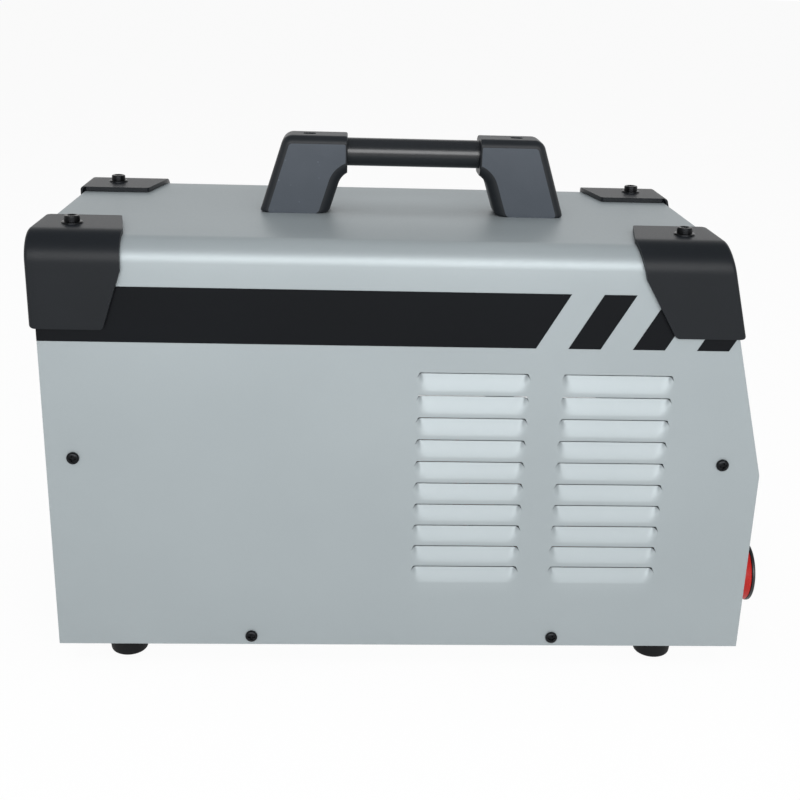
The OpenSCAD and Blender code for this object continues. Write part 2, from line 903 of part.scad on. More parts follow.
module fan_rotor() {
    color("black") on_rear(0, fan_z) translate([0, 0, fan_back + fan_boss_t + fan_axial_gap]) {
        cylinder(d = fan_hub_d, h = blade_h);
        for (blade = [1 : blades]) rotate([0, 0, blade * 360 / blades]) fan_blade();
        translate([0, 0, -fan_axial_gap - fan_boss_t])
            cylinder(d = fan_shaft_d, h = fan_axial_gap + fan_boss_t);
    }
}

// Finger guard: welded wire rings on two crossing wires with an eye at each screw
module fan_guard() {
    reach = norm(fan_corner_places[0]) - eye_r;
    color("silver") on_rear(0, fan_z) translate([0, 0, wire_d / 2]) {
        for (turn = [45, 135]) rotate([0, 0, turn]) rotate([0, 90, 0])
            translate([0, 0, -reach]) cylinder(d = wire_d, h = 2 * reach);
        for (place = fan_corner_places) translate([place.x, place.y, -eye_t / 2]) difference() {
            cylinder(d = 2 * eye_r + wire_d, h = eye_t);
            translate([0, 0, -overrun]) cylinder(d = 2 * eye_r - wire_d, h = eye_t + 2 * overrun);
        }
        for (ring = [1 : wire_rings]) translate([0, 0, wire_d * wire_weld_share])
            rotate_extrude() translate([fan_bore_d / 2 * ring / wire_rings, 0]) circle(d = wire_d);
    }
}

module fan_screws() {
    grip = wire_d + panel_t + fan_screw_grip;
    color("silver") for (place = fan_corner_places)
        on_rear(place.x, fan_z + place.y) translate([0, 0, wire_d])
            pan_screw(fan_screw_d, fan_screw_head_d, fan_screw_head_h, grip);
}

// Mains switch

switch_flange_w = 26;
switch_flange_h = 32;
flange_t = 2.5;
switch_depth = 24;
rocker_w = 17;
rocker_r = 11.5;
rocker_pivot_d = 3;
rocker_pivot_l = 1.5;
rocker_pivot_z = -1;
rocker_well = 9;
rocker_low = 4;
rocker_mid = 5;
rocker_end = 6.5;

module switch_frame() {
    well_w = rocker_w + 2 * slide_fit;
    well_h = 2 * (rocker_r + slide_fit);
    color("black") on_rear(mains_y, mains_z) difference() {
        union() {
            linear_extrude(flange_t) rounded_rect(switch_flange_w, switch_flange_h, box_round);
            translate([0, 0, -switch_depth])
                linear_extrude(switch_depth) rounded_rect(switch_box_w, switch_box_h, box_round);
        }
        translate([-well_w / 2, -well_h / 2, rocker_pivot_z - rocker_well])
            cube([well_w, well_h, rocker_well + flange_t + overrun - rocker_pivot_z]);
        translate([0, 0, rocker_pivot_z]) rotate([0, 90, 0])
            cylinder(d = rocker_pivot_d + 2 * shaft_fit, h = well_w + 2 * rocker_pivot_l, center = true);
    }
}

// Rocker in its off position, pivoting across the panel
module switch_rocker() {
    pivot_l = rocker_w + 2 * rocker_pivot_l;
    color("red") on_rear(mains_y, mains_z)
        translate([0, 0, rocker_pivot_z]) rotate([-rocker_swing / 2, 0, 0]) {
            intersection() {
                rotate([0, 90, 0]) cylinder(r = rocker_r, h = rocker_w, center = true);
                along_x(-rocker_w / 2, rocker_w / 2) polygon([
                    [-rocker_r, -rocker_low], [rocker_r, -rocker_low], [rocker_r, rocker_end],
                    [0, rocker_mid], [-rocker_r, rocker_end]]);
            }
            rotate([0, 90, 0]) cylinder(d = rocker_pivot_d, h = pivot_l, center = true);
        }
}

// Mains inlet with three recessed pins

inlet_flange_w = 32;
inlet_flange_h = 24.5;
inlet_depth = 22;
inlet_mouth_w = 24.4;
inlet_mouth_h = 16.6;
inlet_mouth_depth = 17;
inlet_bevel = 4.5;
inlet_pin_w = 2;
inlet_pin_h = 4;
inlet_pin_l = 11;
inlet_pin_pitch = 7;
inlet_pin_shift = 2;

module mains_inlet() {
    half_w = inlet_mouth_w / 2;
    half_h = inlet_mouth_h / 2;
    color("black") on_rear(-mains_y, mains_z) difference() {
        union() {
            linear_extrude(flange_t) rounded_rect(inlet_flange_w, inlet_flange_h, box_round);
            translate([0, 0, -inlet_depth])
                linear_extrude(inlet_depth) rounded_rect(inlet_box_w, inlet_box_h, box_round);
        }
        translate([0, 0, flange_t - inlet_mouth_depth]) linear_extrude(inlet_mouth_depth + overrun)
            polygon([
                [-half_w, -half_h], [half_w, -half_h],
                [half_w, half_h - inlet_bevel], [half_w - inlet_bevel, half_h],
                [inlet_bevel - half_w, half_h], [-half_w, half_h - inlet_bevel]]);
    }
}

module inlet_pins() {
    places = [
        [-inlet_pin_pitch, -inlet_pin_shift], [inlet_pin_pitch, -inlet_pin_shift], [0, inlet_pin_shift]];
    color("silver") on_rear(-mains_y, mains_z) for (place = places)
        translate([place.x, place.y, flange_t - inlet_mouth_depth])
            linear_extrude(inlet_pin_l) square([inlet_pin_w, inlet_pin_h], center = true);
}

// Output sockets and the trigger lead's connector on the lower front panel

socket_rim_t = 2.5;
socket_rim_over = 0.3;
socket_neck_l = 14;
contact_d = 20;
contact_fit = 0.1;
contact_front = 8;
contact_floor = 6;
contact_l = contact_bore_l + contact_floor;
contact_stud_d = 10;
contact_stud_l = 14;
socket_nut_d = 44;
socket_nut_t = 6;
gun_flange_d = 22;
gun_wall = 1.4;
gun_reach = 12;
gun_tail = 11;
gun_face = 3.5;
gun_insert_fit = 0.1;
gun_pin_d = 2;
gun_pin_l = 3;
gun_pin_r = 3.2;
gun_pins = 4;
gun_nut_d = 24;
gun_nut_t = 4;

module socket_housing() {
    seat = contact_d / 2 + contact_fit;
    front = socket_l - socket_rim_t;
    rotate_extrude() polygon([
        [seat, -socket_neck_l], [socket_neck_d / 2, -socket_neck_l], [socket_neck_d / 2, 0],
        [socket_d / 2, 0], [socket_d / 2, front], [socket_mouth_d / 2, front],
        [socket_mouth_d / 2, contact_front], [seat, contact_front]]);
}

module socket_rim() {
    color("black") translate([0, 0, socket_l - socket_rim_t]) difference() {
        cylinder(d = socket_d + 2 * socket_rim_over, h = socket_rim_t);
        translate([0, 0, -overrun]) cylinder(d = socket_mouth_d, h = socket_rim_t + 2 * overrun);
    }
}

module socket_contact() {
    color("gold") difference() {
        union() {
            translate([0, 0, contact_front - contact_l]) cylinder(d = contact_d, h = contact_l);
            translate([0, 0, contact_front - contact_l - contact_stud_l])
                cylinder(d = contact_stud_d, h = contact_stud_l);
        }
        translate([0, 0, contact_front - contact_bore_l])
            cylinder(d = contact_bore_d, h = contact_bore_l + overrun);
    }
}

module socket_positive_housing() {
    color("red") on_lower_front(-socket_y, socket_z) socket_housing();
}

module socket_positive_rim() {
    on_lower_front(-socket_y, socket_z) socket_rim();
}

module socket_positive_contact() {
    on_lower_front(-socket_y, socket_z) socket_contact();
}

module socket_negative_housing() {
    color("black") on_lower_front(socket_y, socket_z) socket_housing();
}

module socket_negative_rim() {
    on_lower_front(socket_y, socket_z) socket_rim();
}

module socket_negative_contact() {
    on_lower_front(socket_y, socket_z) socket_contact();
}

module panel_nut(d, hole, t) {
    translate([0, 0, -panel_t - t]) difference() {
        cylinder(d = d, h = t, $fn = 6);
        translate([0, 0, -overrun]) cylinder(d = hole + 2 * hole_fit, h = t + 2 * overrun);
    }
}

module socket_nuts() {
    color("silver") {
        for (side = [-1, 1]) on_lower_front(side * socket_y, socket_z)
            panel_nut(socket_nut_d, socket_neck_d, socket_nut_t);
        on_lower_front(0, gun_z) panel_nut(gun_nut_d, gun_thread_d, gun_nut_t);
    }
}

module gun_connector_shell() {
    outer = gun_thread_d / 2;
    inner = outer - gun_wall;
    flange = gun_flange_d / 2;
    color("silver") on_lower_front(0, gun_z) rotate_extrude() polygon([
        [inner, -gun_tail], [outer, -gun_tail], [outer, 0], [flange, 0],
        [flange, flange_t], [outer, flange_t], [outer, gun_reach], [inner, gun_reach]]);
}

module gun_connector_insert() {
    r = gun_thread_d / 2 - gun_wall - gun_insert_fit;
    color("saddlebrown") on_lower_front(0, gun_z)
        translate([0, 0, -gun_tail]) cylinder(r = r, h = gun_tail + gun_face);
}

module gun_connector_pins() {
    color("gold") on_lower_front(0, gun_z) for (pin = [1 : gun_pins])
        rotate([0, 0, (pin - 1 / 2) * 360 / gun_pins]) translate([gun_pin_r, 0, gun_face])
            cylinder(d = gun_pin_d, h = gun_pin_l);
}

// Controls on the sloping panel

knob_grip_d_share = 0.74;
knob_grip_d = knob_d * knob_grip_d_share;
knob_skirt_h = 4;
knob_gap = 0.6;
knob_recess_d = 18;
knob_recess_h = 6.5;
knob_floor = 3;
knob_flutes = 14;
knob_flute_d = 3.4;
knob_flute_in_share = 0.25;
knob_flute_r = knob_grip_d / 2 + knob_flute_d * knob_flute_in_share;
knob_mark_w = 1.4;
knob_mark_h = 0.6;
pot_body_d = 17;
pot_body_l = 12;
pot_bush_l = 5;
pot_nut_d = 13;
pot_nut_t = 2.2;
pot_shaft_d = 6;

module voltage_knob() {
    shaft_end = knob_h - knob_floor;
    color("black") on_slope(0, knob_up) translate([0, 0, knob_gap]) difference() {
        union() {
            cylinder(d = knob_d, h = knob_skirt_h);
            translate([0, 0, knob_skirt_h / 2]) linear_extrude(knob_h - knob_skirt_h / 2) difference() {
                circle(d = knob_grip_d);
                for (flute = [1 : knob_flutes]) rotate(flute * 360 / knob_flutes)
                    translate([knob_flute_r, 0]) circle(d = knob_flute_d);
            }
        }
        translate([0, 0, -overrun]) cylinder(d = knob_recess_d, h = knob_recess_h + overrun);
        cylinder(d = pot_shaft_d + 2 * shaft_fit, h = shaft_end);
        translate([-knob_mark_w / 2, 0, knob_h - knob_mark_h]) cube([knob_mark_w, knob_d, knob_h]);
    }
}

module potentiometer() {
    shaft_l = knob_gap + knob_h - knob_floor - slide_fit;
    color("silver") on_slope(0, knob_up) {
        translate([0, 0, -panel_t - pot_body_l]) cylinder(d = pot_body_d, h = pot_body_l);
        translate([0, 0, -panel_t]) cylinder(d = pot_bush_d, h = panel_t + pot_bush_l);
        cylinder(d = pot_nut_d, h = pot_nut_t, $fn = 6);
        cylinder(d = pot_shaft_d, h = shaft_l);
    }
}

meter_depth = 18;
meter_round = 2;
window_t = 1.5;
window_edge = 5;
window_fit = 0.15;
window_shelf = 2;
meter_well_h = 10;
display_gap = 0.5;

module meter_bezel() {
    window = [meter_w, meter_h] - 2 * window_edge * [1, 1];
    well = window - 2 * window_shelf * [1, 1];
    color("black") on_slope(0, meter_up) difference() {
        union() {
            linear_extrude(flange_t) rounded_rect(meter_w, meter_h, meter_round);
            translate([0, 0, -meter_depth])
                linear_extrude(meter_depth) rounded_rect(meter_box_w, meter_box_h, box_round);
        }
        translate([0, 0, flange_t - window_t])
            linear_extrude(window_t + overrun) square(window, center = true);
        translate([0, 0, flange_t - window_t - meter_well_h])
            linear_extrude(meter_well_h + overrun) square(well, center = true);
    }
}

module meter_window() {
    window = [meter_w, meter_h] - 2 * (window_edge + window_fit) * [1, 1];
    color("darkred") on_slope(0, meter_up) translate([0, 0, flange_t - window_t])
        linear_extrude(window_t) square(window, center = true);
}

module meter_display() {
    block = [meter_w, meter_h] - 2 * (window_edge + window_shelf + window_fit) * [1, 1];
    color("dimgray") on_slope(0, meter_up) translate([0, 0, flange_t - window_t - meter_well_h])
        linear_extrude(meter_well_h - display_gap) square(block, center = true);
}

lamp_collar = 1.5;
lamp_collar_t = 1.5;
lamp_tail = 9;

module lamp(place) {
    on_slope(place, lamp_up) {
        translate([0, 0, -panel_t - lamp_tail]) cylinder(d = lamp_neck_d, h = panel_t + lamp_tail);
        cylinder(d = lamp_d + 2 * lamp_collar, h = lamp_collar_t);
        translate([0, 0, lamp_collar_t]) intersection() {
            sphere(d = lamp_d);
            cylinder(d = lamp_d, h = lamp_d);
        }
    }
}

module lamp_power() {
    color("lime") lamp(lamp_places[0]);
}

module lamp_charge() {
    color("orange") lamp(lamp_places[1]);
}

module lamp_ready() {
    color("red") lamp(lamp_places[2]);
}

button_collar = 3;
button_collar_t = 2;
button_tail = 14;
button_floor = 2;
button_cap_in = 6;
button_cap_out = 5.5;
button_edge = 1;

module button_housings() {
    color("silver") for (side = [-1, 1]) on_slope(side * button_y, knob_up) difference() {
        union() {
            cylinder(d = button_guide_d + 2 * button_collar, h = button_collar_t);
            translate([0, 0, -panel_t - button_tail])
                cylinder(d = button_guide_d, h = panel_t + button_tail);
        }
        translate([0, 0, button_floor - panel_t - button_tail])
            cylinder(d = button_d + 2 * slide_fit, h = button_tail + panel_t + button_collar_t);
    }
}

module button_cap() {
    translate([0, 0, -button_cap_in])
        cylinder(d = button_d, h = button_cap_in + button_cap_out - button_edge);
    translate([0, 0, button_cap_out - button_edge])
        cylinder(d1 = button_d, d2 = button_d - 2 * button_edge, h = button_edge);
}

module button_charge() {
    color("green") on_slope(-button_y, knob_up) button_cap();
}

module button_discharge() {
    color("red") on_slope(button_y, knob_up) button_cap();
}

board_t = 1.6;
relay_l = 30;
relay_w = 16;
relay_h = 20;
relays = 3;

// Control board behind the sloping panel, with its relays on the far face
module control_board() {
    middle = board_low + board_h / 2;
    color("darkgreen") on_slope(0, middle) translate([0, 0, -board_back - board_t]) difference() {
        union() {
            linear_extrude(board_t) square([board_w, board_h], center = true);
            for (relay = [1 : relays]) translate([(relay - (relays + 1) / 2) * 2 * relay_w, 0, -relay_h])
                linear_extrude(relay_h + board_t / 2) square([relay_w, relay_l], center = true);
        }
        for (place = spacer_places) translate([place.x, place.y - middle, -overrun])
            cylinder(d = spacer_screw_d + 2 * hole_fit, h = board_t + 2 * overrun);
    }
}

// Pillars between the panel and the board, with studs that pass through both
module board_spacers() {
    color("silver") for (place = spacer_places) on_slope(place.x, place.y) {
        translate([0, 0, -board_back]) cylinder(d = spacer_d, h = board_back - panel_t);
        translate([0, 0, -board_back - 2 * board_t])
            cylinder(d = spacer_screw_d, h = board_back + 2 * board_t);
    }
}

// Energy store, drawn in the case frame on the tray

can_clamp_fit = 0.5;
can_clamp_h_share = 0.7;
can_clamp_t = 2;
can_clamp_margin = 5;
terminal_d = 10;
terminal_h = 6;
terminal_out = 11;
bar_w = 14;
bar_t = 3;
bar_z = tray_t + can_h + terminal_h;
sink_l = 50;
sink_room = 34;
core_gap = 8;
core_x = case_l - core_front - core_l;
sink_x = core_x - core_gap - sink_l;
can_x = can_rear + can_d / 2;
can_pitch = can_d + can_gap;
can_rows = floor((sink_x - sink_room - can_rear + can_gap) / can_pitch);
can_last_x = can_x + (can_rows - 1) * can_pitch;
can_half = can_pitch / 2 + can_d / 2 + can_clamp_margin;

module at_cans() {
    for (row = [0 : can_rows - 1]) for (side = [-1, 1])
        translate([can_x + row * can_pitch, side * can_pitch / 2, tray_t]) children();
}

module capacitor_cans() {
    color("steelblue") at_cans() {
        cylinder(d = can_d, h = can_h);
        for (side = [-1, 1]) translate([0, side * terminal_out, can_h])
            cylinder(d = terminal_d, h = terminal_h);
    }
}

// Channel over the cans that holds them down to the tray
module capacitor_clamp() {
    from = can_x - can_d / 2 - can_clamp_margin;
    to = can_last_x + can_d / 2 + can_clamp_margin;
    deck = tray_t + can_h * can_clamp_h_share;
    color("silver") difference() {
        translate([from, -can_half - can_clamp_t, tray_t])
            cube([to - from, 2 * (can_half + can_clamp_t), deck - tray_t]);
        translate([from - overrun, -can_half, tray_t - overrun])
            cube([to - from + 2 * overrun, 2 * can_half, deck - tray_t - can_clamp_t + overrun]);
        at_cans() cylinder(d = can_d + 2 * can_clamp_fit, h = can_h);
    }
}

// Bars over the terminals: the outer pair joins at the rear, the inner pair at the front
module busbars() {
    outer = can_pitch / 2 + terminal_out;
    inner = can_pitch / 2 - terminal_out;
    rear = can_x - can_d / 2 - bar_w / 2;
    front = can_last_x + can_d / 2 + bar_w / 2;
    color("peru") translate([0, 0, bar_z]) linear_extrude(bar_t) {
        for (side = [-1, 1]) {
            translate([rear - bar_w / 2, side * outer - bar_w / 2])
                square([can_last_x - rear + bar_w, bar_w]);
            translate([can_x - bar_w / 2, side * inner - bar_w / 2]) square([front - can_x + bar_w, bar_w]);
        }
        translate([rear - bar_w / 2, -outer]) square([bar_w, 2 * outer]);
        translate([front - bar_w / 2, -inner]) square([bar_w, 2 * inner]);
    }
}

// Thyristor on its heat sink, level with the output straps

sink_w = 68;
sink_h = 20;
sink_base = 6;
sink_fins = 8;
sink_fin_t = 2.5;
sink_y = 42;
thyristor_l = 34;
thyristor_w = 60;
thyristor_h = 25;
strap_t = 3;
strap_w = 20;
run_z = tray_t + sink_h + thyristor_h + strap_t;
tab_x = panel_face + contact_front - contact_l;

module heat_sink() {
    color("silver") translate([sink_x, sink_y - sink_w / 2, tray_t]) {
        translate([0, 0, sink_h - sink_base]) cube([sink_l, sink_w, sink_base]);
        for (fin = [0 : sink_fins - 1])
            translate([0, fin * (sink_w - sink_fin_t) / (sink_fins - 1), 0])
                cube([sink_l, sink_fin_t, sink_h]);
    }
}

module thyristor() {
    corner = [sink_x + (sink_l - thyristor_l) / 2, sink_y - thyristor_w / 2, tray_t + sink_h];
    color("dimgray") translate(corner) cube([thyristor_l, thyristor_w, thyristor_h]);
}

// A bent strap drawn in x and z: each leg is a rectangle between two corners
module strap_leg(from, to) {
    translate([min(from.x, to.x), min(from.y, to.y)]) square([abs(to.x - from.x), abs(to.y - from.y)]);
}

// Straps from the sockets to the capacitors and the thyristor, and the link between those two
module output_straps() {
    rise_x = can_last_x + can_d / 2 + 2 * bar_w;
    land_z = bar_z + bar_t + strap_t;
    sink_mid = sink_x + sink_l / 2;
    link_y = can_pitch / 2 - terminal_out;
    color("peru") difference() {
        union() {
            across(-socket_y - strap_w / 2, strap_w / 2 - socket_y) {
                strap_leg([tab_x - strap_t, socket_z - strap_w / 2], [tab_x, run_z]);
                strap_leg([rise_x, run_z - strap_t], [tab_x, run_z]);
                strap_leg([rise_x, run_z - strap_t], [rise_x + strap_t, land_z]);
                strap_leg([can_last_x - bar_w / 2, land_z - strap_t], [rise_x + strap_t, land_z]);
            }
            across(socket_y - strap_w / 2, socket_y + strap_w / 2) {
                strap_leg([tab_x - strap_t, socket_z - strap_w / 2], [tab_x, run_z]);
                strap_leg([sink_mid, run_z - strap_t], [tab_x, run_z]);
            }
            across(link_y - bar_w / 2, link_y + bar_w / 2) {
                strap_leg([can_last_x + can_d / 2, land_z - strap_t], [rise_x + strap_t, land_z]);
                strap_leg([rise_x, run_z - strap_t], [rise_x + strap_t, land_z]);
                strap_leg([rise_x, run_z - strap_t], [sink_mid, run_z]);
            }
        }
        for (side = [-1, 1]) on_lower_front(side * socket_y, socket_z)
            translate([0, 0, contact_front - contact_l - strap_t - overrun])
                cylinder(d = contact_stud_d + 2 * hole_fit, h = strap_t + 2 * overrun);
    }
}

// Charging transformer: laminated core with a winding on its middle leg

core_w = 56;
core_h = 74;
core_leg = 14;
core_middle = 26;
winding_fit = 0.5;
winding_out = 11;
winding_round = 4;

module transformer_core() {
    window_l = (core_l - core_middle - 2 * core_leg) / 2;
    color("dimgray") across(-core_w / 2, core_w / 2) translate([core_x, tray_t]) difference() {
        square([core_l, core_h]);
        translate([core_leg, core_leg]) square([window_l, core_h - 2 * core_leg]);
        translate([core_l - core_leg - window_l, core_leg]) square([window_l, core_h - 2 * core_leg]);
    }
}

module transformer_winding() {
    window_l = (core_l - core_middle - 2 * core_leg) / 2;
    h = core_h - 2 * core_leg - 2 * winding_fit;
    outer_l = core_middle + 2 * (window_l - winding_fit);
    low = tray_t + core_leg + winding_fit;
    color("peru") translate([core_x + core_l / 2, 0, low]) linear_extrude(h) difference() {
        rounded_rect(outer_l, core_w + 2 * winding_out, winding_round);
        square([core_middle + 2 * winding_fit, core_w + 2 * winding_fit], center = true);
    }
}

in_frame() base_tray();
in_frame() front_panel();
in_frame() rear_panel();
in_frame() top_cover();
in_frame() stripe_near();
in_frame() stripe_far();
in_frame() corner_guard_front_near();
in_frame() corner_guard_front_far();
in_frame() corner_guard_rear_near();
in_frame() corner_guard_rear_far();
in_frame() guard_screws();
in_frame() cover_screws();
in_frame() foot_front_near();
in_frame() foot_front_far();
in_frame() foot_rear_near();
in_frame() foot_rear_far();
in_frame() foot_screws();
in_frame() handle_post_front();
in_frame() handle_post_rear();
in_frame() handle_tube();
in_frame() handle_screws();
in_frame() fan_frame();
in_frame() fan_rotor();
in_frame() fan_guard();
in_frame() fan_screws();
in_frame() switch_frame();
in_frame() switch_rocker();
in_frame() mains_inlet();
in_frame() inlet_pins();
in_frame() socket_positive_housing();
in_frame() socket_positive_rim();
in_frame() socket_positive_contact();
in_frame() socket_negative_housing();
in_frame() socket_negative_rim();
in_frame() socket_negative_contact();
in_frame() socket_nuts();
in_frame() gun_connector_shell();
in_frame() gun_connector_insert();
in_frame() gun_connector_pins();
in_frame() voltage_knob();
in_frame() potentiometer();
in_frame() meter_bezel();
in_frame() meter_display();
in_frame() meter_window();
in_frame() lamp_power();
in_frame() lamp_charge();
in_frame() lamp_ready();
in_frame() button_housings();
in_frame() button_charge();
in_frame() button_discharge();
in_frame() control_board();
in_frame() board_spacers();
in_frame() capacitor_cans();
in_frame() capacitor_clamp();
in_frame() busbars();
in_frame() output_straps();
in_frame() transformer_core();
in_frame() transformer_winding();
in_frame() heat_sink();
in_frame() thyristor();
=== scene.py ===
import json

import bmesh
import bpy
import numpy as np
from mathutils import Matrix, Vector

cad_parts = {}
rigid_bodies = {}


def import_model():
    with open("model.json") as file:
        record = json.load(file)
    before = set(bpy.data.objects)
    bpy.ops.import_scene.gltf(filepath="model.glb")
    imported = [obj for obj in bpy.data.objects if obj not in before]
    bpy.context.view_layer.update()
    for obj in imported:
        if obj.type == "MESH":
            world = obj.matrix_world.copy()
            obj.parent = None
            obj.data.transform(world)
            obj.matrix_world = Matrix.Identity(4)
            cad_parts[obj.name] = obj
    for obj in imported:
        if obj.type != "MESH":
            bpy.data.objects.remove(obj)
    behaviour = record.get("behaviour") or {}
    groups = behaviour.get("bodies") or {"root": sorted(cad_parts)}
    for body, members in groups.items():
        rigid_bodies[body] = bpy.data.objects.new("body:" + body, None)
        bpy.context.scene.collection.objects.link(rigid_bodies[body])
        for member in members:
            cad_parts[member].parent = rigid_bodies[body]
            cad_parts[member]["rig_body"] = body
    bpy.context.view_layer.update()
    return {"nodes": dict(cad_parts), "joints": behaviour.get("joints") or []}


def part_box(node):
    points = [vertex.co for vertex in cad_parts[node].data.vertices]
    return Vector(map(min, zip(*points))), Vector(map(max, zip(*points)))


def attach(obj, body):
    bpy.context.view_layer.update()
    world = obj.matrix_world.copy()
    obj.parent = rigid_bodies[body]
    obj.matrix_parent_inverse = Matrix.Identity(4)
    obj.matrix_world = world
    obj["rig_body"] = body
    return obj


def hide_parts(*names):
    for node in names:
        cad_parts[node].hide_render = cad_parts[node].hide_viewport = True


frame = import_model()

nodes = frame["nodes"]
mm = 0.001


# Base tray: the folded floor of the machine, made of galvanised steel sheet with turned-up flanges.
# It carries the feet and everything heavy, and the cover is screwed to its flanges.

def rgb(code):
    """Linear colour of an sRGB hex code: c / 12.92 up to 0.04045, ((c + 0.055) / 1.055) ** 2.4 above."""
    c = np.array([int(code[i:i + 2], 16) for i in (1, 3, 5)]) / 255
    return (*np.where(c > 0.04045, ((c + 0.055) / 1.055) ** 2.4, c / 12.92), 1.0)


def add(material, kind, inputs=(), **settings):
    """Adds a shader node: settings are its own attributes, inputs are values or other nodes' outputs."""
    node = material.node_tree.nodes.new("ShaderNode" + kind)
    for name, value in settings.items():
        setattr(node, name, value)
    for name, value in dict(inputs).items():
        if isinstance(value, bpy.types.NodeSocket):
            material.node_tree.links.new(value, node.inputs[name])
        else:
            node.inputs[name].default_value = value
    return node


def blank(name):
    """An empty material and its object coordinates, in metres."""
    material = bpy.data.materials.new(name)
    material.use_nodes = True
    material.node_tree.nodes.clear()
    return material, add(material, "TexCoord").outputs["Object"]


def blend(material, share, start, end):
    """Mixes two sRGB hex colours by a share from 0 to 1."""
    return add(material, "Mix", {0: share, 6: rgb(start), 7: rgb(end)}, data_type="RGBA").outputs[2]


def spread(material, value, low, high):
    """Carries a value from 0 to 1 onto low to high."""
    return add(material, "MapRange", {"Value": value, "To Min": low, "To Max": high}).outputs[0]


def surface(material, inputs):
    """Ends a material with one principled surface."""
    skin = add(material, "BsdfPrincipled", inputs)
    add(material, "OutputMaterial", {"Surface": skin.outputs[0]})
    return material


def dress(material, *names):
    """Gives a material to the named nodes, which keep their own shape."""
    for name in names:
        for slot in nodes[name].material_slots:
            slot.material = material


def galvanised_steel(name, light, dark, spangle):
    """Hot-dip zinc: crystals a few millimetres across differ in shade and in gloss."""
    material, place = blank(name)
    crystal = add(material, "TexVoronoi", {"Vector": place, "Scale": 1 / (spangle * mm)})
    shade = add(material, "SeparateColor", {"Color": crystal.outputs["Color"]}).outputs[0]
    glossy, dull = 0.32, 0.5
    return surface(material, {
        "Base Color": blend(material, shade, dark, light), "Roughness": spread(material, shade, glossy, dull),
        "Metallic": 1.0})


tray_zinc = galvanised_steel("galvanised_tray_steel", "#B9BDC0", "#8F9599", spangle=7)
dress(tray_zinc, "base_tray")


# Feet: four moulded rubber buffers, each held to the tray by a screw sunk in its middle.
# The rubber is matt black, a little paler where dust sits in its grain.

def noise(material, place, size, detail):
    """Soft noise from 0 to 1 with clouds about size mm across."""
    return add(material, "TexNoise", {"Vector": place, "Scale": 1 / (size * mm), "Detail": detail}).outputs[0]


def moulded(name, light, dark, grain, depth, roughness, dust=0, dust_colour="#8C9196", coat=0, shine=0.5):
    """A moulded polymer: grain is the texture's size in mm and depth its height; dust lies in specks."""
    cloud_size, mote_pitch, mote_core, mote_rim = 40, 4, 0.06, 0.17
    material, place = blank(name)
    cloud = noise(material, place, cloud_size, 3)
    fine = noise(material, place, grain, 2)
    colour = blend(material, cloud, dark, light)
    if dust:
        motes = add(material, "TexVoronoi", {"Vector": place, "Scale": 1 / (mote_pitch * mm)})
        spot = add(material, "MapRange", {
            "Value": motes.outputs["Distance"], "From Min": mote_core, "From Max": mote_rim,
            "To Min": 1.0, "To Max": 0.0}).outputs[0]
        sparse = add(material, "MapRange", {
            "Value": cloud, "From Min": 0.5, "From Max": 0.75, "To Max": dust}).outputs[0]
        amount = add(material, "Math", {0: spot, 1: sparse}, operation="MULTIPLY").outputs[0]
        colour = add(material, "Mix", {
            0: amount, 6: colour, 7: rgb(dust_colour)}, data_type="RGBA").outputs[2]
    relief = add(material, "Bump", {"Height": fine, "Strength": 0.6, "Distance": depth * mm})
    return surface(material, {
        "Base Color": colour, "Roughness": spread(material, fine, roughness - 0.06, roughness + 0.08),
        "Normal": relief.outputs[0], "Specular IOR Level": shine,
        "Coat Weight": coat, "Coat Roughness": 0.12})


foot_rubber = moulded("moulded_black_rubber", "#151618", "#0C0D0E", grain=0.8, depth=0.08, roughness=0.62,
                      dust=0.3, shine=0.15)
dress(foot_rubber, "foot_front_near", "foot_front_far", "foot_rear_near", "foot_rear_far")


# Foot screws: zinc-plated steel, pan heads up inside the feet.
# Plating is bright, with a faint grey cloud and the circular lines of the die.

def plated(name, light, dark, roughness, lines=2, turned=0):
    """A plated or drawn metal: clouds of two shades, and gloss broken by lines of the given size in mm."""
    material, place = blank(name)
    stretch = add(material, "Mapping", {"Vector": place, "Scale": (1.0, 1.0, 1 + 8 * turned)}).outputs[0]
    cloud = noise(material, stretch, lines, 4)
    return surface(material, {
        "Base Color": blend(material, cloud, dark, light), "Metallic": 1.0,
        "Roughness": spread(material, cloud, roughness - 0.08, roughness + 0.1)})


screw_zinc = plated("zinc_plated_steel", "#C9CCCE", "#A3A8AC", roughness=0.3)
dress(screw_zinc, "foot_screws")


# Charging transformer: a stack of silicon-steel sheets, varnished, with a copper winding on its middle leg.
# The sheets lie across the machine, so their edges show as fine lines.

def banded(name, light, dark, pitch, axis, wander, depth, strength, roughness, metal):
    """Bands one pitch in mm apart along an axis, with dark seams: stacked sheets, or close turns of wire."""
    wave_length = 0.314
    material, place = blank(name)
    bands = add(material, "TexWave", {
        "Vector": place, "Scale": wave_length / (pitch * mm), "Distortion": wander},
        bands_direction=axis).outputs[1]
    relief = add(material, "Bump", {"Height": bands, "Strength": strength, "Distance": depth * mm})
    return surface(material, {
        "Base Color": blend(material, bands, dark, light), "Roughness": roughness, "Metallic": metal,
        "Normal": relief.outputs[0]})


core_sheets = banded("varnished_core_sheets", "#5A5C5E", "#2C2D2F", pitch=1, axis="Y", wander=0.4,
                     depth=0.1, strength=0.5, roughness=0.42, metal=0.6)
copper_wire = banded("enamelled_copper_wire", "#B4622E", "#5A2A14", pitch=1.2, axis="Z", wander=0.2,
                     depth=0.4, strength=0.8, roughness=0.3, metal=0.7)
dress(core_sheets, "transformer_core")
dress(copper_wire, "transformer_winding")


# Energy store: capacitor cans in shrink sleeves, held by a steel clamp and joined by copper bars.
# Copper straps carry the current to the thyristor on its finned aluminium block and to the sockets.

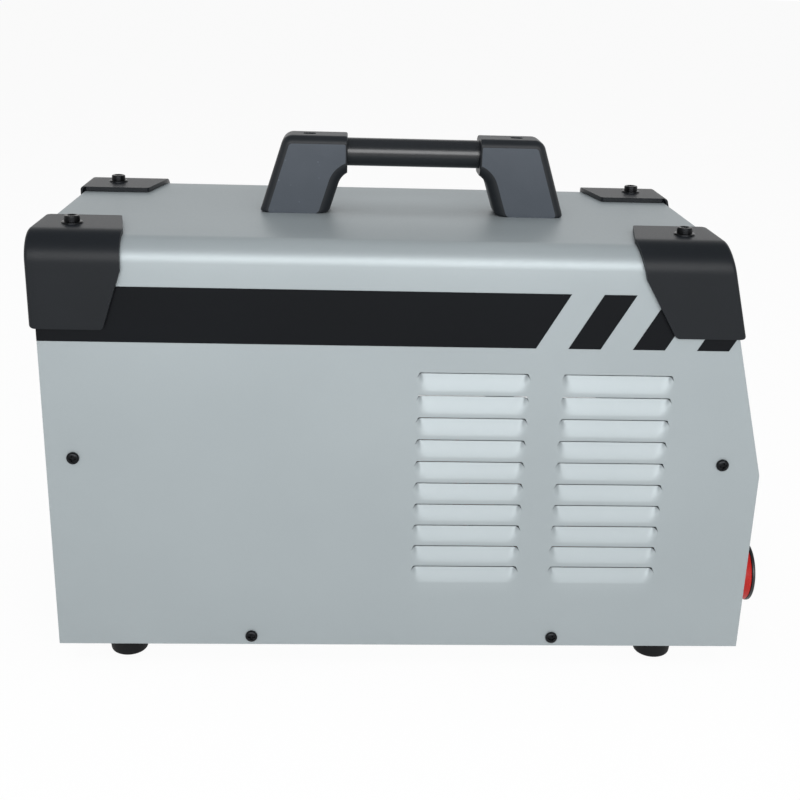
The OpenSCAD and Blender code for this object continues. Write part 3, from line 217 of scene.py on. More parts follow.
can_sleeve = moulded("shrink_sleeve", "#1E2C4A", "#141E33", grain=6, depth=0.1, roughness=0.32, coat=0.3)
bar_copper = plated("rolled_copper", "#C8794E", "#9A5533", roughness=0.32, lines=4)
sink_aluminium = plated("extruded_aluminium", "#C2C5C8", "#9FA4A8", roughness=0.38, lines=3, turned=1)
thyristor_case = moulded("thyristor_epoxy", "#26272A", "#17181A", grain=0.6, depth=0.05, roughness=0.5)
dress(can_sleeve, "capacitor_cans")
dress(tray_zinc, "capacitor_clamp")
dress(bar_copper, "busbars", "output_straps")
dress(sink_aluminium, "heat_sink")
dress(thyristor_case, "thyristor")


# Control board: green glass-fibre laminate with copper tracks under the solder mask, on nickel pillars.
# The tracks show as paler lines that turn at right angles.

def solder_mask(name, green, track, pitch):
    """Tracks from a square Voronoi pattern: its cell borders are paler; pitch is the track spacing in mm."""
    material, place = blank(name)
    cell = add(material, "TexVoronoi", {"Vector": place, "Scale": 1 / (pitch * mm)}, distance="MANHATTAN",
               feature="F1").outputs["Distance"]
    line = add(material, "MapRange", {"Value": cell, "From Min": 0.5, "From Max": 0.6}).outputs[0]
    return surface(material, {
        "Base Color": blend(material, line, green, track), "Roughness": 0.3, "Coat Weight": 0.4})


pin_nickel = plated("nickel_plate", "#D2D0C8", "#AFADA6", roughness=0.24)
dress(solder_mask("solder_mask_green", "#0F4A2C", "#2C7A4C", pitch=5), "control_board")
dress(pin_nickel, "board_spacers", "inlet_pins", "potentiometer", "socket_nuts")


# Rear panel: a steel pan behind the machine, bent with flanges and powder-coated charcoal.
# Its fan opening, switch and inlet holes are punched before coating; the bends are soft.

def powder_coat(name, light, dark, peel, depth, roughness, flake=0, shine=0.5):
    """Baked powder: shallow orange peel about peel mm across and depth mm deep, with faint clouds of shade;
    flake is the share of aluminium flake, which gives a silver coat its broad sheen."""
    cloud_size = 90
    material, place = blank(name)
    cloud = noise(material, place, cloud_size, 2)
    skin_grain = noise(material, place, peel, 1)
    relief = add(material, "Bump", {"Height": skin_grain, "Strength": 0.5, "Distance": depth * mm})
    return surface(material, {
        "Base Color": blend(material, cloud, dark, light), "Metallic": flake, "Specular IOR Level": shine,
        "Roughness": spread(material, skin_grain, roughness - 0.04, roughness + 0.04),
        "Normal": relief.outputs[0]})


def place_piece(name, mesh, material, body):
    """Puts a mesh into the scene as a piece that rides on a body and wears the given material."""
    mesh.materials.clear()
    mesh.materials.append(material)
    piece = bpy.data.objects.new(name, mesh)
    bpy.context.scene.collection.objects.link(piece)
    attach(piece, body)
    return piece


def round_edges(piece, edge, steps, angle):
    """Rounds the edges that turn by more than an angle in degrees, over so many mm."""
    bevel = piece.modifiers.new("rounded_edges", "BEVEL")
    bevel.width = edge * mm
    bevel.segments = steps
    bevel.limit_method = "ANGLE"
    bevel.angle_limit = np.radians(angle)
    bevel.harden_normals = True


def soften(name, edge, material, steps=2):
    """A merged copy of a node with its flat faces joined and its sharp edges rounded over edge mm."""
    mesh = nodes[name].data.copy()
    shape = bmesh.new()
    shape.from_mesh(mesh)
    bmesh.ops.remove_doubles(shape, verts=shape.verts, dist=0.002 * mm)
    bmesh.ops.dissolve_limit(shape, angle_limit=np.radians(0.5), verts=shape.verts, edges=shape.edges)
    shape.to_mesh(mesh)
    shape.free()
    mesh.shade_smooth()
    piece = place_piece(name + "_finished", mesh, material, nodes[name]["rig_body"])
    round_edges(piece, edge, steps, angle=35)
    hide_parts(name)


panel_paint = powder_coat("charcoal_powder_coat", "#33363A", "#2A2D31", peel=1.2, depth=0.12, roughness=0.46)
soften("rear_panel", 0.5, panel_paint)


# Cooling fan: a moulded glass-filled frame and rotor behind the panel, screwed through a wire finger guard.
# The guard is spot-welded wire with bright chrome plating.

fan_plastic = moulded("glass_filled_fan_plastic", "#222326", "#161719", grain=0.7, depth=0.06, roughness=0.48)
chrome_wire = plated("chrome_plated_wire", "#D9DBDD", "#B4B8BB", roughness=0.2, lines=6)
dress(fan_plastic, "fan_frame", "fan_rotor")
dress(chrome_wire, "fan_guard")
dress(screw_zinc, "fan_screws")


# Mains switch: a black nylon frame snapped into the panel, with a red rocker that stands in its off position.
# The rocker carries the usual bar and ring, printed white on its two halves.

def flat_quads(name, quads, origin, right, up, out, material, body, lift=0.06):
    """Flat print: quads of 2-D points in mm, laid lift mm above a plane given by its origin and axes."""
    corners = np.asarray(quads, float).reshape(-1, 2) * mm
    axes = np.array([right, up, out], float)
    points = np.array(origin) + corners @ axes[:2] + lift * mm * axes[2]
    mesh = bpy.data.meshes.new(name)
    mesh.from_pydata(points, [], np.arange(len(points)).reshape(-1, 4))
    place_piece(name, mesh, material, body)


def ring_quads(inner, outer, steps):
    """A flat ring as quads between two circles, in mm."""
    turn = np.linspace(0, 2 * np.pi, steps + 1)
    circle = np.stack([np.cos(turn), np.sin(turn)], axis=-1)
    start, end = circle[:-1], circle[1:]
    return np.stack([inner * start, outer * start, outer * end, inner * end], axis=1)


def bar_quad(width, height, at=(0, 0)):
    """One upright rectangle as a quad, in mm, round a given middle."""
    half = np.array([[-1, -1], [1, -1], [1, 1], [-1, 1]]) * [width / 2, height / 2]
    return (half + at)[None]


switch_black = moulded("switch_nylon", "#232427", "#18191B", grain=0.5, depth=0.04, roughness=0.4)
rocker_red = moulded("rocker_polycarbonate", "#B3231D", "#9C1A16", grain=2, depth=0.02, roughness=0.22,
                     coat=0.5)
print_white = moulded("screen_print_white", "#E6E8E8", "#D9DCDC", grain=0.6, depth=0.01, roughness=0.5)
soften("switch_frame", 0.5, switch_black)
soften("switch_rocker", 0.5, rocker_red)

rocker_joint = next(j for j in frame["joints"] if j["child"] == "mains_rocker")
facet_rise, facet_run, valley_h, rocker_reach = 1.5, 11.5, 5, 6.2
rocker_rest = np.radians(11)
rocker_facet = np.arctan2(facet_rise, facet_run)
rocker_rise = valley_h + rocker_reach * np.tan(rocker_facet)
tilt_up = np.array([np.sin(rocker_rest), 0, np.cos(rocker_rest)])
tilt_out = np.array([-np.cos(rocker_rest), 0, np.sin(rocker_rest)])
off_ring = ring_quads(inner=1.3, outer=2, steps=24)
on_bar = bar_quad(width=0.8, height=4.2)
for half, sign in ((1, off_ring), (-1, on_bar)):
    lean = half * rocker_facet - rocker_rest
    up = np.array([-np.sin(lean), 0, np.cos(lean)])
    out = np.array([-np.cos(lean), 0, -np.sin(lean)])
    middle = np.array(rocker_joint["pos_m"]) + (half * rocker_reach * tilt_up + rocker_rise * tilt_out) * mm
    flat_quads("rocker_sign_" + ("off" if half > 0 else "on"), sign, middle, (0, -1, 0), up, out,
               print_white, "mains_rocker")


# Mains inlet: a black moulded three-pin inlet in the rear panel, with nickel-plated pins.
# Its flange stands on the panel and its mouth is deep, with two bevelled corners.

soften("mains_inlet", 0.5, switch_black)


# Front panel: the charcoal pan that carries the controls on its sloping half and the sockets below.
# The dial's scale and the sockets' signs are printed in white.

soften("front_panel", 0.5, panel_paint)

knob_joint = next(j for j in frame["joints"] if j["child"] == "voltage_knob")
slope_out = np.array(knob_joint["axis"], float)
slope_up = np.array([-slope_out[2], 0, slope_out[0]])
across_case = np.array([0.0, 1.0, 0.0])
knob_middle = np.array(knob_joint["pos_m"], float)

tick_count, major_every, dial_sweep = 31, 5, 150
tick_start, major_end, minor_end, major_half, minor_half = 21.8, 25.5, 23.8, 0.35, 0.2
tick_turn = np.radians(np.linspace(-dial_sweep, dial_sweep, tick_count))
major = (np.arange(tick_count) % major_every == 0)[:, None]
outward = np.stack([np.sin(tick_turn), np.cos(tick_turn)], axis=-1)
sideways = np.stack([np.cos(tick_turn), -np.sin(tick_turn)], axis=-1)
tick_in = tick_start * outward
tick_out = np.where(major, major_end, minor_end) * outward
tick_side = np.where(major, major_half, minor_half) * sideways
ticks = np.stack([
    tick_in - tick_side, tick_in + tick_side, tick_out + tick_side, tick_out - tick_side], axis=1)
flat_quads("dial_scale", ticks, knob_middle, across_case, slope_up, slope_out,
           print_white, "case")

panel_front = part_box("front_panel")[1].x
sign_rise, sign_size, sign_stroke = 30, 7, 1.4
minus = bar_quad(sign_size, sign_stroke)
plus = np.concatenate([minus, bar_quad(sign_stroke, sign_size)])
for node, sign in (("socket_positive_housing", plus), ("socket_negative_housing", minus)):
    low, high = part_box(node)
    middle = (panel_front, (low.y + high.y) / 2, (low.z + high.z) / 2 + sign_rise * mm)
    flat_quads(node.replace("housing", "sign"), sign, middle, across_case, (0, 0, 1), (1, 0, 0),
               print_white, "case")


# Output sockets: moulded barrels that stand out of the panel, red for plus and black for minus.
# A black ring closes each barrel, and a brass contact sits deep in its mouth.

socket_red = moulded("red_moulded_nylon", "#BC1C14", "#A6140F", grain=1.2, depth=0.04, roughness=0.36,
                     shine=0.3)
socket_black = moulded("black_moulded_nylon", "#1C1D1F", "#131415", grain=1.2, depth=0.04, roughness=0.38)
contact_brass = plated("turned_brass", "#D0AE62", "#A88540", roughness=0.26, lines=1.5, turned=1)
soften("socket_positive_housing", 0.8, socket_red, steps=3)
soften("socket_negative_housing", 0.8, socket_black, steps=3)
for side in ("positive", "negative"):
    soften("socket_" + side + "_rim", 0.7, socket_black, steps=3)
    soften("socket_" + side + "_contact", 0.5, contact_brass)


# Trigger connector: a nickel-plated threaded shell with a brown insert and four gold pins.
# The thread is too fine to model and shows as turned lines in the plating.

connector_nickel = plated("turned_nickel", "#CFCDC6", "#A5A39C", roughness=0.24, lines=1, turned=1)
connector_insert = moulded("brown_phenolic", "#3A2418", "#2B1A11", grain=0.5, depth=0.03, roughness=0.42)
soften("gun_connector_shell", 0.35, connector_nickel)
soften("gun_connector_insert", 0.3, connector_insert)
dress(contact_brass, "gun_connector_pins")


# Voltage knob: a fluted phenolic knob on the potentiometer's shaft, with a white line inlaid in its top.
# Its skirt turns just above the printed scale.

knob_black = moulded("phenolic_knob", "#1B1C1E", "#121314", grain=0.6, depth=0.03, roughness=0.36, coat=0.25)
soften("voltage_knob", 0.5, knob_black)
pointer = bar_quad(width=1.2, height=12.6, at=(0, 7.2))
knob_h, pointer_sink = 18.6, 0.3
flat_quads("knob_pointer", pointer, knob_middle, across_case, slope_up, slope_out,
           print_white, "voltage_knob", lift=knob_h - pointer_sink)


# Voltage meter: a snap-in bezel with a smoked red window over three seven-segment digits.
# The machine stands unplugged, so the segments are dark and only just show.

def smoked_acrylic(name, tint, roughness):
    """Tinted clear sheet: light passes and takes the tint, and the surface reflects sharply."""
    material, place = blank(name)
    haze_size = 15
    haze = noise(material, place, haze_size, 2)
    return surface(material, {
        "Base Color": rgb(tint), "Roughness": spread(material, haze, roughness, roughness + 0.06),
        "Transmission Weight": 0.8, "IOR": 1.49})


bezel_black = moulded("meter_abs", "#1F2022", "#151617", grain=0.5, depth=0.03, roughness=0.4)
display_black = moulded("display_epoxy", "#141416", "#0D0D0E", grain=0.4, depth=0.02, roughness=0.55)
segment_grey = moulded("unlit_segments", "#A85A52", "#96504A", grain=0.5, depth=0.01, roughness=0.5)
soften("meter_bezel", 0.7, bezel_black)
soften("meter_window", 0.3, smoked_acrylic("smoked_red_acrylic", "#7A1512", roughness=0.06))
dress(display_black, "meter_display")

display_middle = (np.array(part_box("meter_display")[0]) + np.array(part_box("meter_display")[1])) / 2
display_t, digit_lift = 9.5, 0.05
digit_pitch, digit_w, digit_h, stroke = 14, 8, 15, 1.6
level = [bar_quad(digit_w - stroke, stroke, at=(0, rise * digit_h / 2)) for rise in (-1, 0, 1)]
upright = [bar_quad(stroke, digit_h / 2 - stroke, at=(side * digit_w / 2, rise * digit_h / 4))
           for side in (-1, 1) for rise in (-1, 1)]
digit = np.concatenate(level + upright)
digits = np.concatenate([digit + [place * digit_pitch, 0] for place in (-1, 0, 1)])
flat_quads("meter_digits", digits, display_middle, across_case, slope_up, slope_out,
           segment_grey, "case", lift=display_t / 2 + digit_lift)


# Signal lamps: domed coloured lenses in chromed collars, pressed into the sloping panel.
# From the near side: power in green, charging in amber, ready in red.

def weld(mesh, distance=0.003):
    """Merges points closer than distance mm, drops faces that vanish, and shades smoothly."""
    shape = bmesh.new()
    shape.from_mesh(mesh)
    bmesh.ops.remove_doubles(shape, verts=shape.verts, dist=distance * mm)
    bmesh.ops.dissolve_degenerate(shape, dist=distance * mm, edges=shape.edges)
    shape.to_mesh(mesh)
    shape.free()
    mesh.shade_smooth()


def grid_mesh(name, grids, around=False, flip=False):
    """Quads over grids of points shaped (copies, rows, columns, 3); around joins the last column to the
    first. Points that fall together, as at a pole, are merged, and shading is smooth."""
    copies, rows, columns = grids.shape[:3]
    reach = columns if around else columns - 1
    copy, row, column = np.meshgrid(np.arange(copies), np.arange(rows - 1), np.arange(reach), indexing="ij")
    start = copy * rows * columns
    here, there = start + row * columns, start + (row + 1) * columns
    after = (column + 1) % columns
    quads = np.stack([here + column, here + after, there + after, there + column], axis=-1).reshape(-1, 4)
    mesh = bpy.data.meshes.new(name)
    mesh.from_pydata(grids.reshape(-1, 3), [], quads[:, ::-1] if flip else quads)
    weld(mesh)
    return mesh


def turned(radii, heights, steps):
    """A profile of radii and heights in mm carried round the z axis; radii may also vary round the turn."""
    turn = np.arange(steps) * 2 * np.pi / steps
    radii = np.asarray(radii, float)
    radii = radii[:, None] if radii.ndim == 1 else radii
    heights = np.broadcast_to(np.asarray(heights, float).reshape(len(radii), -1), (len(radii), steps))
    return np.stack([radii * np.cos(turn), radii * np.sin(turn), heights], axis=-1)


def seat(points, origin, right, up, out):
    """Carries points in mm from a local frame to its place in the machine."""
    return np.array(origin) + points * mm @ np.array([right, up, out], float)


def arc(middle, radius, start, end, steps):
    """Points on a circle from one angle to another, in degrees."""
    turn = np.radians(np.linspace(start, end, steps))
    return np.stack([middle[0] + radius * np.cos(turn), middle[1] + radius * np.sin(turn)], axis=-1)


def lens(name, light, dark):
    """Moulded clear lens over a dull lamp: bright colour, wet gloss, some light passing through."""
    material, place = blank(name)
    swirl_size = 4
    swirl = noise(material, place, swirl_size, 2)
    return surface(material, {
        "Base Color": blend(material, swirl, dark, light), "Roughness": 0.12, "Transmission Weight": 0.25,
        "Coat Weight": 0.6})


lamp_rise = 40
lamp_r, collar_r, collar_h, collar_round = 4, 5.5, 1.5, 0.5
collar_profile = np.concatenate([
    [[collar_r, 0]], arc((collar_r - collar_round, collar_h - collar_round), collar_round, 0, 90, 5),
    [[lamp_r, collar_h], [lamp_r, collar_h - collar_round]]])
lens_profile = arc((0, collar_h - collar_round), lamp_r, 0, 90, 12)
for node, slot, light, dark in (("lamp_power", "lamp_green", "#2FA84A", "#1E8538"),
                                ("lamp_charge", "lamp_amber", "#E0941F", "#C47A12"),
                                ("lamp_ready", "lamp_red", "#CF2B22", "#AC1C16")):
    low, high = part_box(node)
    lamp_middle = knob_middle + lamp_rise * mm * slope_up + [0, (low.y + high.y) / 2, 0]
    for part, profile, finish in (("collar", collar_profile, chrome_wire),
                                  ("lens", lens_profile, lens("lens_" + slot, light, dark))):
        lathe = turned(profile[:, 0], profile[:, 1], steps=40)
        grid = seat(lathe, lamp_middle, across_case, slope_up, slope_out)
        piece = place_piece(node + "_" + part, grid_mesh(node + "_" + part, grid[None], around=True),
                            finish, "case")
        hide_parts(node)


# Push buttons: brushed steel housings screwed into the panel, with a green cap to charge and a red one
# to discharge. The caps slide inside the housings and stand a few millimetres proud.

control_steel = plated("brushed_steel", "#BFC2C4", "#9CA0A3", roughness=0.34, lines=1, turned=1)
button_green = moulded("green_button_cap", "#2C8A45", "#237538", grain=1, depth=0.02, roughness=0.3, coat=0.3)
button_red = moulded("red_button_cap", "#BE2A22", "#A5201A", grain=1, depth=0.02, roughness=0.3, coat=0.3)
soften("button_housings", 0.4, control_steel)
soften("button_charge", 0.4, button_green)
soften("button_discharge", 0.4, button_red)


# Cover: one steel sheet folded over the machine, with two blocks of louvres pressed into each side.
# A satin silver-grey powder coat runs over it; each louvre is slit on top and pressed in below the slit.

cover_low, cover_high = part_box("top_cover")
case_w = (cover_high.y - cover_low.y) / mm
case_h = (cover_high.z - cover_low.z) / mm
case_l = (cover_high.x - cover_low.x) / mm
nose_h, slope_back, bend_r, cover_t = 130, 39.5, 15, 1.2
rear_edge = np.array([cover_low.x, 0, cover_low.z])


def front_edge(z):
    """Where the cover ends in front, in mm: upright to the nose, then leaning back in a straight line."""
    return case_l - slope_back * np.clip((z - nose_h) / (case_h - nose_h), 0, None)


def smooth(t):
    """Eases from 0 to 1: three t squared less two t cubed."""
    t = np.clip(t, 0, 1)
    return t * t * (3 - 2 * t)


louvre_rows, louvre_pitch, louvre_top, louvre_h = 10, 15.3, 199, 13
louvre_starts, louvre_w = np.array([239.1, 332.5]), 73.4
lip_in, slit_run, slit_drop, fade = 3, 1.8, 4.2, 6
flap_curve, lip_ease, foot_ease = 1.12, 3.2, 7
end_steps = np.array([-6, -3, -1.2, 0, 0.8, 1.7, 2.6, 3.6, 4.8, 6.5, 8.5, 11, 15])
column_steps = np.concatenate([end_steps, [25, 35, 45], louvre_w - end_steps[::-1]])
plain_rear = np.linspace(0, 225, 10)
body_x = np.concatenate([plain_rear, louvre_starts[0] + column_steps, louvre_starts[1] + column_steps])
flap_v = np.array([1, 0.9, 0.78, 0.64, 0.5, 0.35, 0.2, 0.08, 0])

# Distance inside the nearest louvre end, for every line along the case
inside = np.max([np.minimum(body_x - a, a + louvre_w - body_x) for a in louvre_starts], axis=0)
dip = slit_drop * np.where(inside < 0, smooth(1 + inside / fade), np.clip(1 - inside / slit_run, 0, 1))
lip_z = louvre_top - louvre_pitch * np.arange(louvre_rows)[::-1]

# Each louvre gives rows from the foot of its flap to its lip, then the edge of the sheet above the slit.
# Rows count from the lowest louvre, whose slit stands open the most
lowest_gap, highest_gap = 1.9, 1.2
slit_gap = np.linspace(lowest_gap, highest_gap, louvre_rows)
lip_drop = dip + slit_gap[:, None, None] * smooth(inside / slit_run)
flap_z = lip_z[:, None, None] - flap_v[:, None] * louvre_h - (1 - flap_v[:, None]) * lip_drop
end_ease = smooth(inside / (lip_ease + foot_ease * flap_v[:, None]))
flap_in = np.broadcast_to(lip_in * (1 - flap_v[:, None]) ** flap_curve * end_ease, flap_z.shape)
edge_z = lip_z[:, None, None] - dip
louvre_z = np.concatenate([flap_z, edge_z], axis=1).reshape(-1, len(body_x))
louvre_in = np.concatenate([flap_in, 0 * edge_z], axis=1).reshape(-1, len(body_x))
slit_rows = np.arange(louvre_rows) * (len(flap_v) + 1) + len(flap_v) - 1

plain_below = np.array([0, 3, 12, 24, 36])
plain_above = np.array([206, 215, 230, 245, 258])
row_of = lambda heights: np.repeat(heights[:, None], len(body_x), axis=1)
side_z = np.concatenate([row_of(plain_below), louvre_z, row_of(plain_above)])
side_in = np.concatenate([0 * row_of(plain_below), louvre_in, 0 * row_of(plain_above)])
bend = np.radians(np.linspace(0, 90, 15))[:, None] + 0 * body_x
top_y = np.linspace(case_w / 2 - bend_r, 0, 5)[1:, None] + 0 * body_x
half_y = np.concatenate([case_w / 2 - side_in, case_w / 2 - bend_r * (1 - np.cos(bend)), top_y])
half_z = np.concatenate([side_z, case_h - bend_r * (1 - np.sin(bend)), 0 * top_y + case_h])

# The last three lines run from the louvres to the front edge, which leans
front_share = np.array([0.35, 0.7, 1])
edge = front_edge(half_z[:, -1:])
front_x = body_x[-1] + (edge - body_x[-1]) * front_share
widen = lambda rows: np.concatenate([rows, np.repeat(rows[:, -1:], len(front_share), axis=1)], axis=1)
half_x = np.concatenate([np.broadcast_to(body_x, half_z.shape), front_x], axis=1)
near = np.stack([half_x, -widen(half_y), widen(half_z)], axis=-1)
far = near[-2::-1] * [1, -1, 1]
cover_rows = np.concatenate([near, far]) * mm + rear_edge
slit_rows = slit_rows + len(plain_below)
slit_rows = np.concatenate([slit_rows, len(cover_rows) - 2 - slit_rows])


def row_quads(rows, columns):
    """Quads between each listed row of points and the next one, in a grid of so many columns."""
    row, column = np.meshgrid(rows, np.arange(columns - 1), indexing="ij")
    here = row * columns + column
    return np.stack([here, here + 1, here + columns + 1, here + columns], axis=-1).reshape(-1, 4)


def open_grid(name, points, open_rows):
    """A skin over one grid of points, without the rows of quads that are named, so that slits stay open."""
    rows, columns = points.shape[:2]
    mesh = bpy.data.meshes.new(name)
    closed_rows = np.setdiff1d(np.arange(rows - 1), open_rows)
    mesh.from_pydata(points.reshape(-1, 3), [], row_quads(closed_rows, columns))
    weld(mesh)
    return mesh


def thicken(piece, wall, edge, steps=2, angle=45):
    """Gives a skin a wall of so many mm inwards and rounds the edges of that wall."""
    solid = piece.modifiers.new("wall", "SOLIDIFY")
    solid.thickness = wall * mm
    solid.offset = -1
    round_edges(piece, edge, steps, angle)


cover_paint = powder_coat("satin_grey_powder_coat", "#98A0A3", "#91999C", peel=1.6, depth=0.05,
                          roughness=0.45, flake=0.35)
cover = place_piece("cover_sheet", open_grid("cover_sheet", cover_rows, slit_rows),
                    cover_paint, "case")
thicken(cover, cover_t, edge=0.2)
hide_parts("top_cover")


# Stripe: cut black vinyl film stuck to each side, a long band and slanted bars that pass under a guard.
# The film is smooth and half gloss, with the faint orange peel of the paint below it.

film_black = powder_coat("black_vinyl_film", "#0C0F13", "#090B0E", peel=2.2, depth=0.03, roughness=0.4,
                         shine=0.1)
dress(film_black, "stripe_near", "stripe_far")


# Cover screws: pan heads with a cross recess, blackened steel, four on each side.
# They hold the cover to the flanges of the tray and the panels.

def pan_heads(head_d, head_h, recess_h, steps=72):
    """A low dome with a cross pressed into it: height less recess where a point lies within an arm."""
    rim_share, arm_reach, reach_ease, arm_half, arm_ease = 0.45, 0.3, 0.4, 0.09, 0.35
    radius = head_d / 2
    rim = head_h * rim_share
    r = np.concatenate([[radius, radius], radius * np.cos(np.linspace(0, np.pi / 2, 24)) ** 0.8])
    dome = rim + (head_h - rim) * np.sqrt(np.clip(1 - (r / radius) ** 2.4, 0, 1))
    dome[0] = 0
    points = turned(r, dome, steps)
    arm = np.minimum(np.abs(points[..., 0]), np.abs(points[..., 1]))
    in_reach = smooth((arm_reach * head_d - r[:, None]) / reach_ease)
    in_arm = smooth((arm_half * head_d - arm) / arm_ease + 0.5)
    points[..., 2] -= recess_h * in_reach * in_arm
    return points


screw_black = plated("blackened_steel", "#2A2B2D", "#18191A", roughness=0.3, lines=1.5)
panel_z, tray_z = 137.5, 6.75
cover_screw_places = ((17.65, panel_z), (case_l - 26, panel_z), (131.1, tray_z), (case_l - 131.3, tray_z))
pan_head = pan_heads(head_d=8.2, head_h=2.6, recess_h=1.5)
screw_grids = np.array([
    seat(pan_head, rear_edge + np.array([x, side * case_w / 2, z]) * mm,
         right=(side, 0, 0), up=(0, 0, -1), out=(0, side, 0))
    for side in (-1, 1) for x, z in cover_screw_places])
screws = place_piece("cover_screw_heads", grid_mesh("cover_screw_heads", screw_grids, around=True),
                     screw_black, "case")
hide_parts("cover_screws")


# Corner guards: charcoal moulded shells over the four upper corners, with a wall that turns in over the
# case's end. Their surface is spark-eroded to a fine matt grain, and their edges are rounded.

guard_wall, guard_shell, guard_in = 3.5, 3.1, 5
guard_l, guard_foot_l, guard_top_l = 54.3, 42, 46.5
guard_drop, guard_knee, guard_reach = 57, 19.5, 57
corner_r, end_r = 2, 2.6


def guard_skin(front, far):
    """The guard's outer skin: rows follow the case's section from the edge on top, over the bend, to the
    lower edge; columns come in over the end, turn its rounded corner and run along to the inner edge."""
    half = case_w / 2
    top_in = half - guard_reach + corner_r * (1 - np.cos(np.linspace(0, np.pi / 2, 7)))
    y_top = np.concatenate([top_in, np.linspace(top_in[-1], half - bend_r, 8)[1:]])
    turn = np.linspace(np.pi / 2, 0, 19)[1:]
    low = case_h - guard_drop
    z_low = low + corner_r * (1 - np.sin(np.linspace(0, np.pi / 2, 7)))
    knee = case_h - guard_knee
    z_side = np.concatenate([
        np.linspace(case_h - bend_r, knee, 4)[1:], np.linspace(knee, z_low[0], 9)[1:], z_low[1:]])

    # Section rows: a middle, the way out from it, and how far the surface lies along that way
    count_top, count_bend, count_side = len(y_top), len(turn), len(z_side)
    angle = np.concatenate([np.full(count_top, np.pi / 2), turn, np.zeros(count_side)])
    core_y = np.concatenate([y_top, np.full(count_bend, half - bend_r), np.full(count_side, half - bend_r)])
    core_z = np.concatenate([np.full(count_top + count_bend, case_h - bend_r), z_side])
    edge_gap = np.concatenate([y_top - (half - guard_reach), np.full(count_bend, corner_r), z_side - low])
    trim = corner_r - np.sqrt(np.clip(corner_r ** 2 - np.clip(corner_r - edge_gap, 0, None) ** 2, 0, None))
    inner = np.concatenate([
        guard_top_l + (guard_l - guard_top_l) * (y_top - half + guard_reach) / (guard_reach - bend_r),
        np.full(count_bend, guard_l),
        guard_l - (guard_l - guard_foot_l) * np.clip((knee - z_side) / (guard_drop - guard_knee), 0, 1)])

    # Columns: distance in from the end of the case, and distance out from its surface
    round_turn = np.linspace(0, np.pi / 2, 7)
    end_in = np.concatenate([np.full(3, -guard_wall), end_r * (1 - np.cos(round_turn)) - guard_wall])
    end_out = np.concatenate([np.linspace(-guard_in, guard_wall - end_r, 4)[:3],
                              guard_wall - end_r + end_r * np.sin(round_turn)])
    along = np.linspace(0, 1, 12)[1:]
    start = end_in[-1]
    inwards = np.concatenate([
        np.repeat(end_in[None], len(angle), axis=0) + trim[:, None],
        start + trim[:, None] + (inner - 2 * trim - start)[:, None] * along], axis=1)
    outwards = np.concatenate([end_out, np.full(len(along), guard_wall)])
    reach = bend_r + outwards
    y = core_y[:, None] + reach * np.cos(angle)[:, None]
    z = core_z[:, None] + reach * np.sin(angle)[:, None]
    x = front_edge(z) - inwards if front else inwards
    points = np.stack([x, y if far else -y, z], axis=-1)
    return points[::-1] if front == far else points


guard_plastic = moulded("spark_textured_abs", "#191C20", "#14171A", grain=0.9, depth=0.05, roughness=0.38,
                        shine=0.17)
for end in ("front", "rear"):
    for side in ("near", "far"):
        name = "corner_guard_" + end + "_" + side
        skin = guard_skin(end == "front", side == "far") * mm + rear_edge
        piece = place_piece(name + "_shell", grid_mesh(name + "_shell", skin[None]), guard_plastic,
                            "case")
        thicken(piece, guard_shell, edge=0.8, steps=3, angle=55)
        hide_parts(name)


# Guard screws: blackened socket-head screws, each on a plain washer, down through the top of a guard.
# A hexagon socket is pressed into each head.

def socket_heads(head_d, head_h, key, socket_h, steps=72):
    """A turned head with a rounded top edge; inside it the radius follows a hexagon to the socket's floor."""
    edge_round, chamfer = 0.8, 0.25
    turn = np.arange(steps) * 2 * np.pi / steps
    hexagon = key / 2 / np.cos((turn + np.pi / 6) % (np.pi / 3) - np.pi / 6)
    edge = arc((head_d / 2 - edge_round, head_h - edge_round), edge_round, 0, 90, 6)
    around = np.ones(steps)
    radii = [head_d / 2 * around, *(r * around for r in edge[:, 0]),
             hexagon + chamfer, hexagon, hexagon, 0 * around]
    heights = [0, *edge[:, 1], head_h, head_h - chamfer, head_h - socket_h, head_h - socket_h]
    return turned(np.array(radii), heights, steps)


screw_end, screw_side = 20, 30
washer_t, washer_in, washer_flat, washer_r, washer_drop = 1, 5, 6.3, 6.75, 0.3
cap_head = socket_heads(head_d=10, head_h=3.8, key=5, socket_h=2.4)
washer = turned([washer_r, washer_r, washer_flat, washer_in], [0, washer_t - washer_drop, washer_t, washer_t],
                steps=72)
guard_places = [
    rear_edge + np.array([x, side * (case_w / 2 - screw_side), case_h + guard_wall]) * mm
    for x in (screw_end, front_edge(case_h) - screw_end) for side in (-1, 1)]
upright_axes = ((1, 0, 0), (0, 1, 0), (0, 0, 1))
for part, shape, rise in (("heads", cap_head, washer_t), ("washers", washer, 0)):
    grids = np.array([seat(shape + [0, 0, rise], place, *upright_axes) for place in guard_places])
    piece = place_piece("guard_screw_" + part, grid_mesh("guard_screw_" + part, grids, around=True),
                        screw_black, "case")
    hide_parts("guard_screws")


# Handle posts: two moulded nylon ends that lean in from a broad foot and hook over to take the grip.
# Front and back faces are flat; the inner edges are well rounded and the outer ones less.

handle_x, post_h, post_w = case_l / 2 + 3, 52.4, 31
foot_out, foot_in, top_out, grip_half = 105.2, 57.7, 88.3, 45.3
hook_h, hook_fillet, top_round, lip_round, foot_round = 29.1, 13, 8, 1.2, 2.5
outer_round, end_round, inner_round = 5.2, 1.2, 7
lean = (foot_out - top_out) / post_h
slant = np.hypot(1, lean)
lean_angle = np.degrees(np.arctan(lean))
hook_z = hook_h - hook_fillet
hook_u = foot_in - lean * hook_z - hook_fillet * slant
shoulder_z = post_h - top_round
shoulder_u = foot_out - lean * shoulder_z - top_round * slant


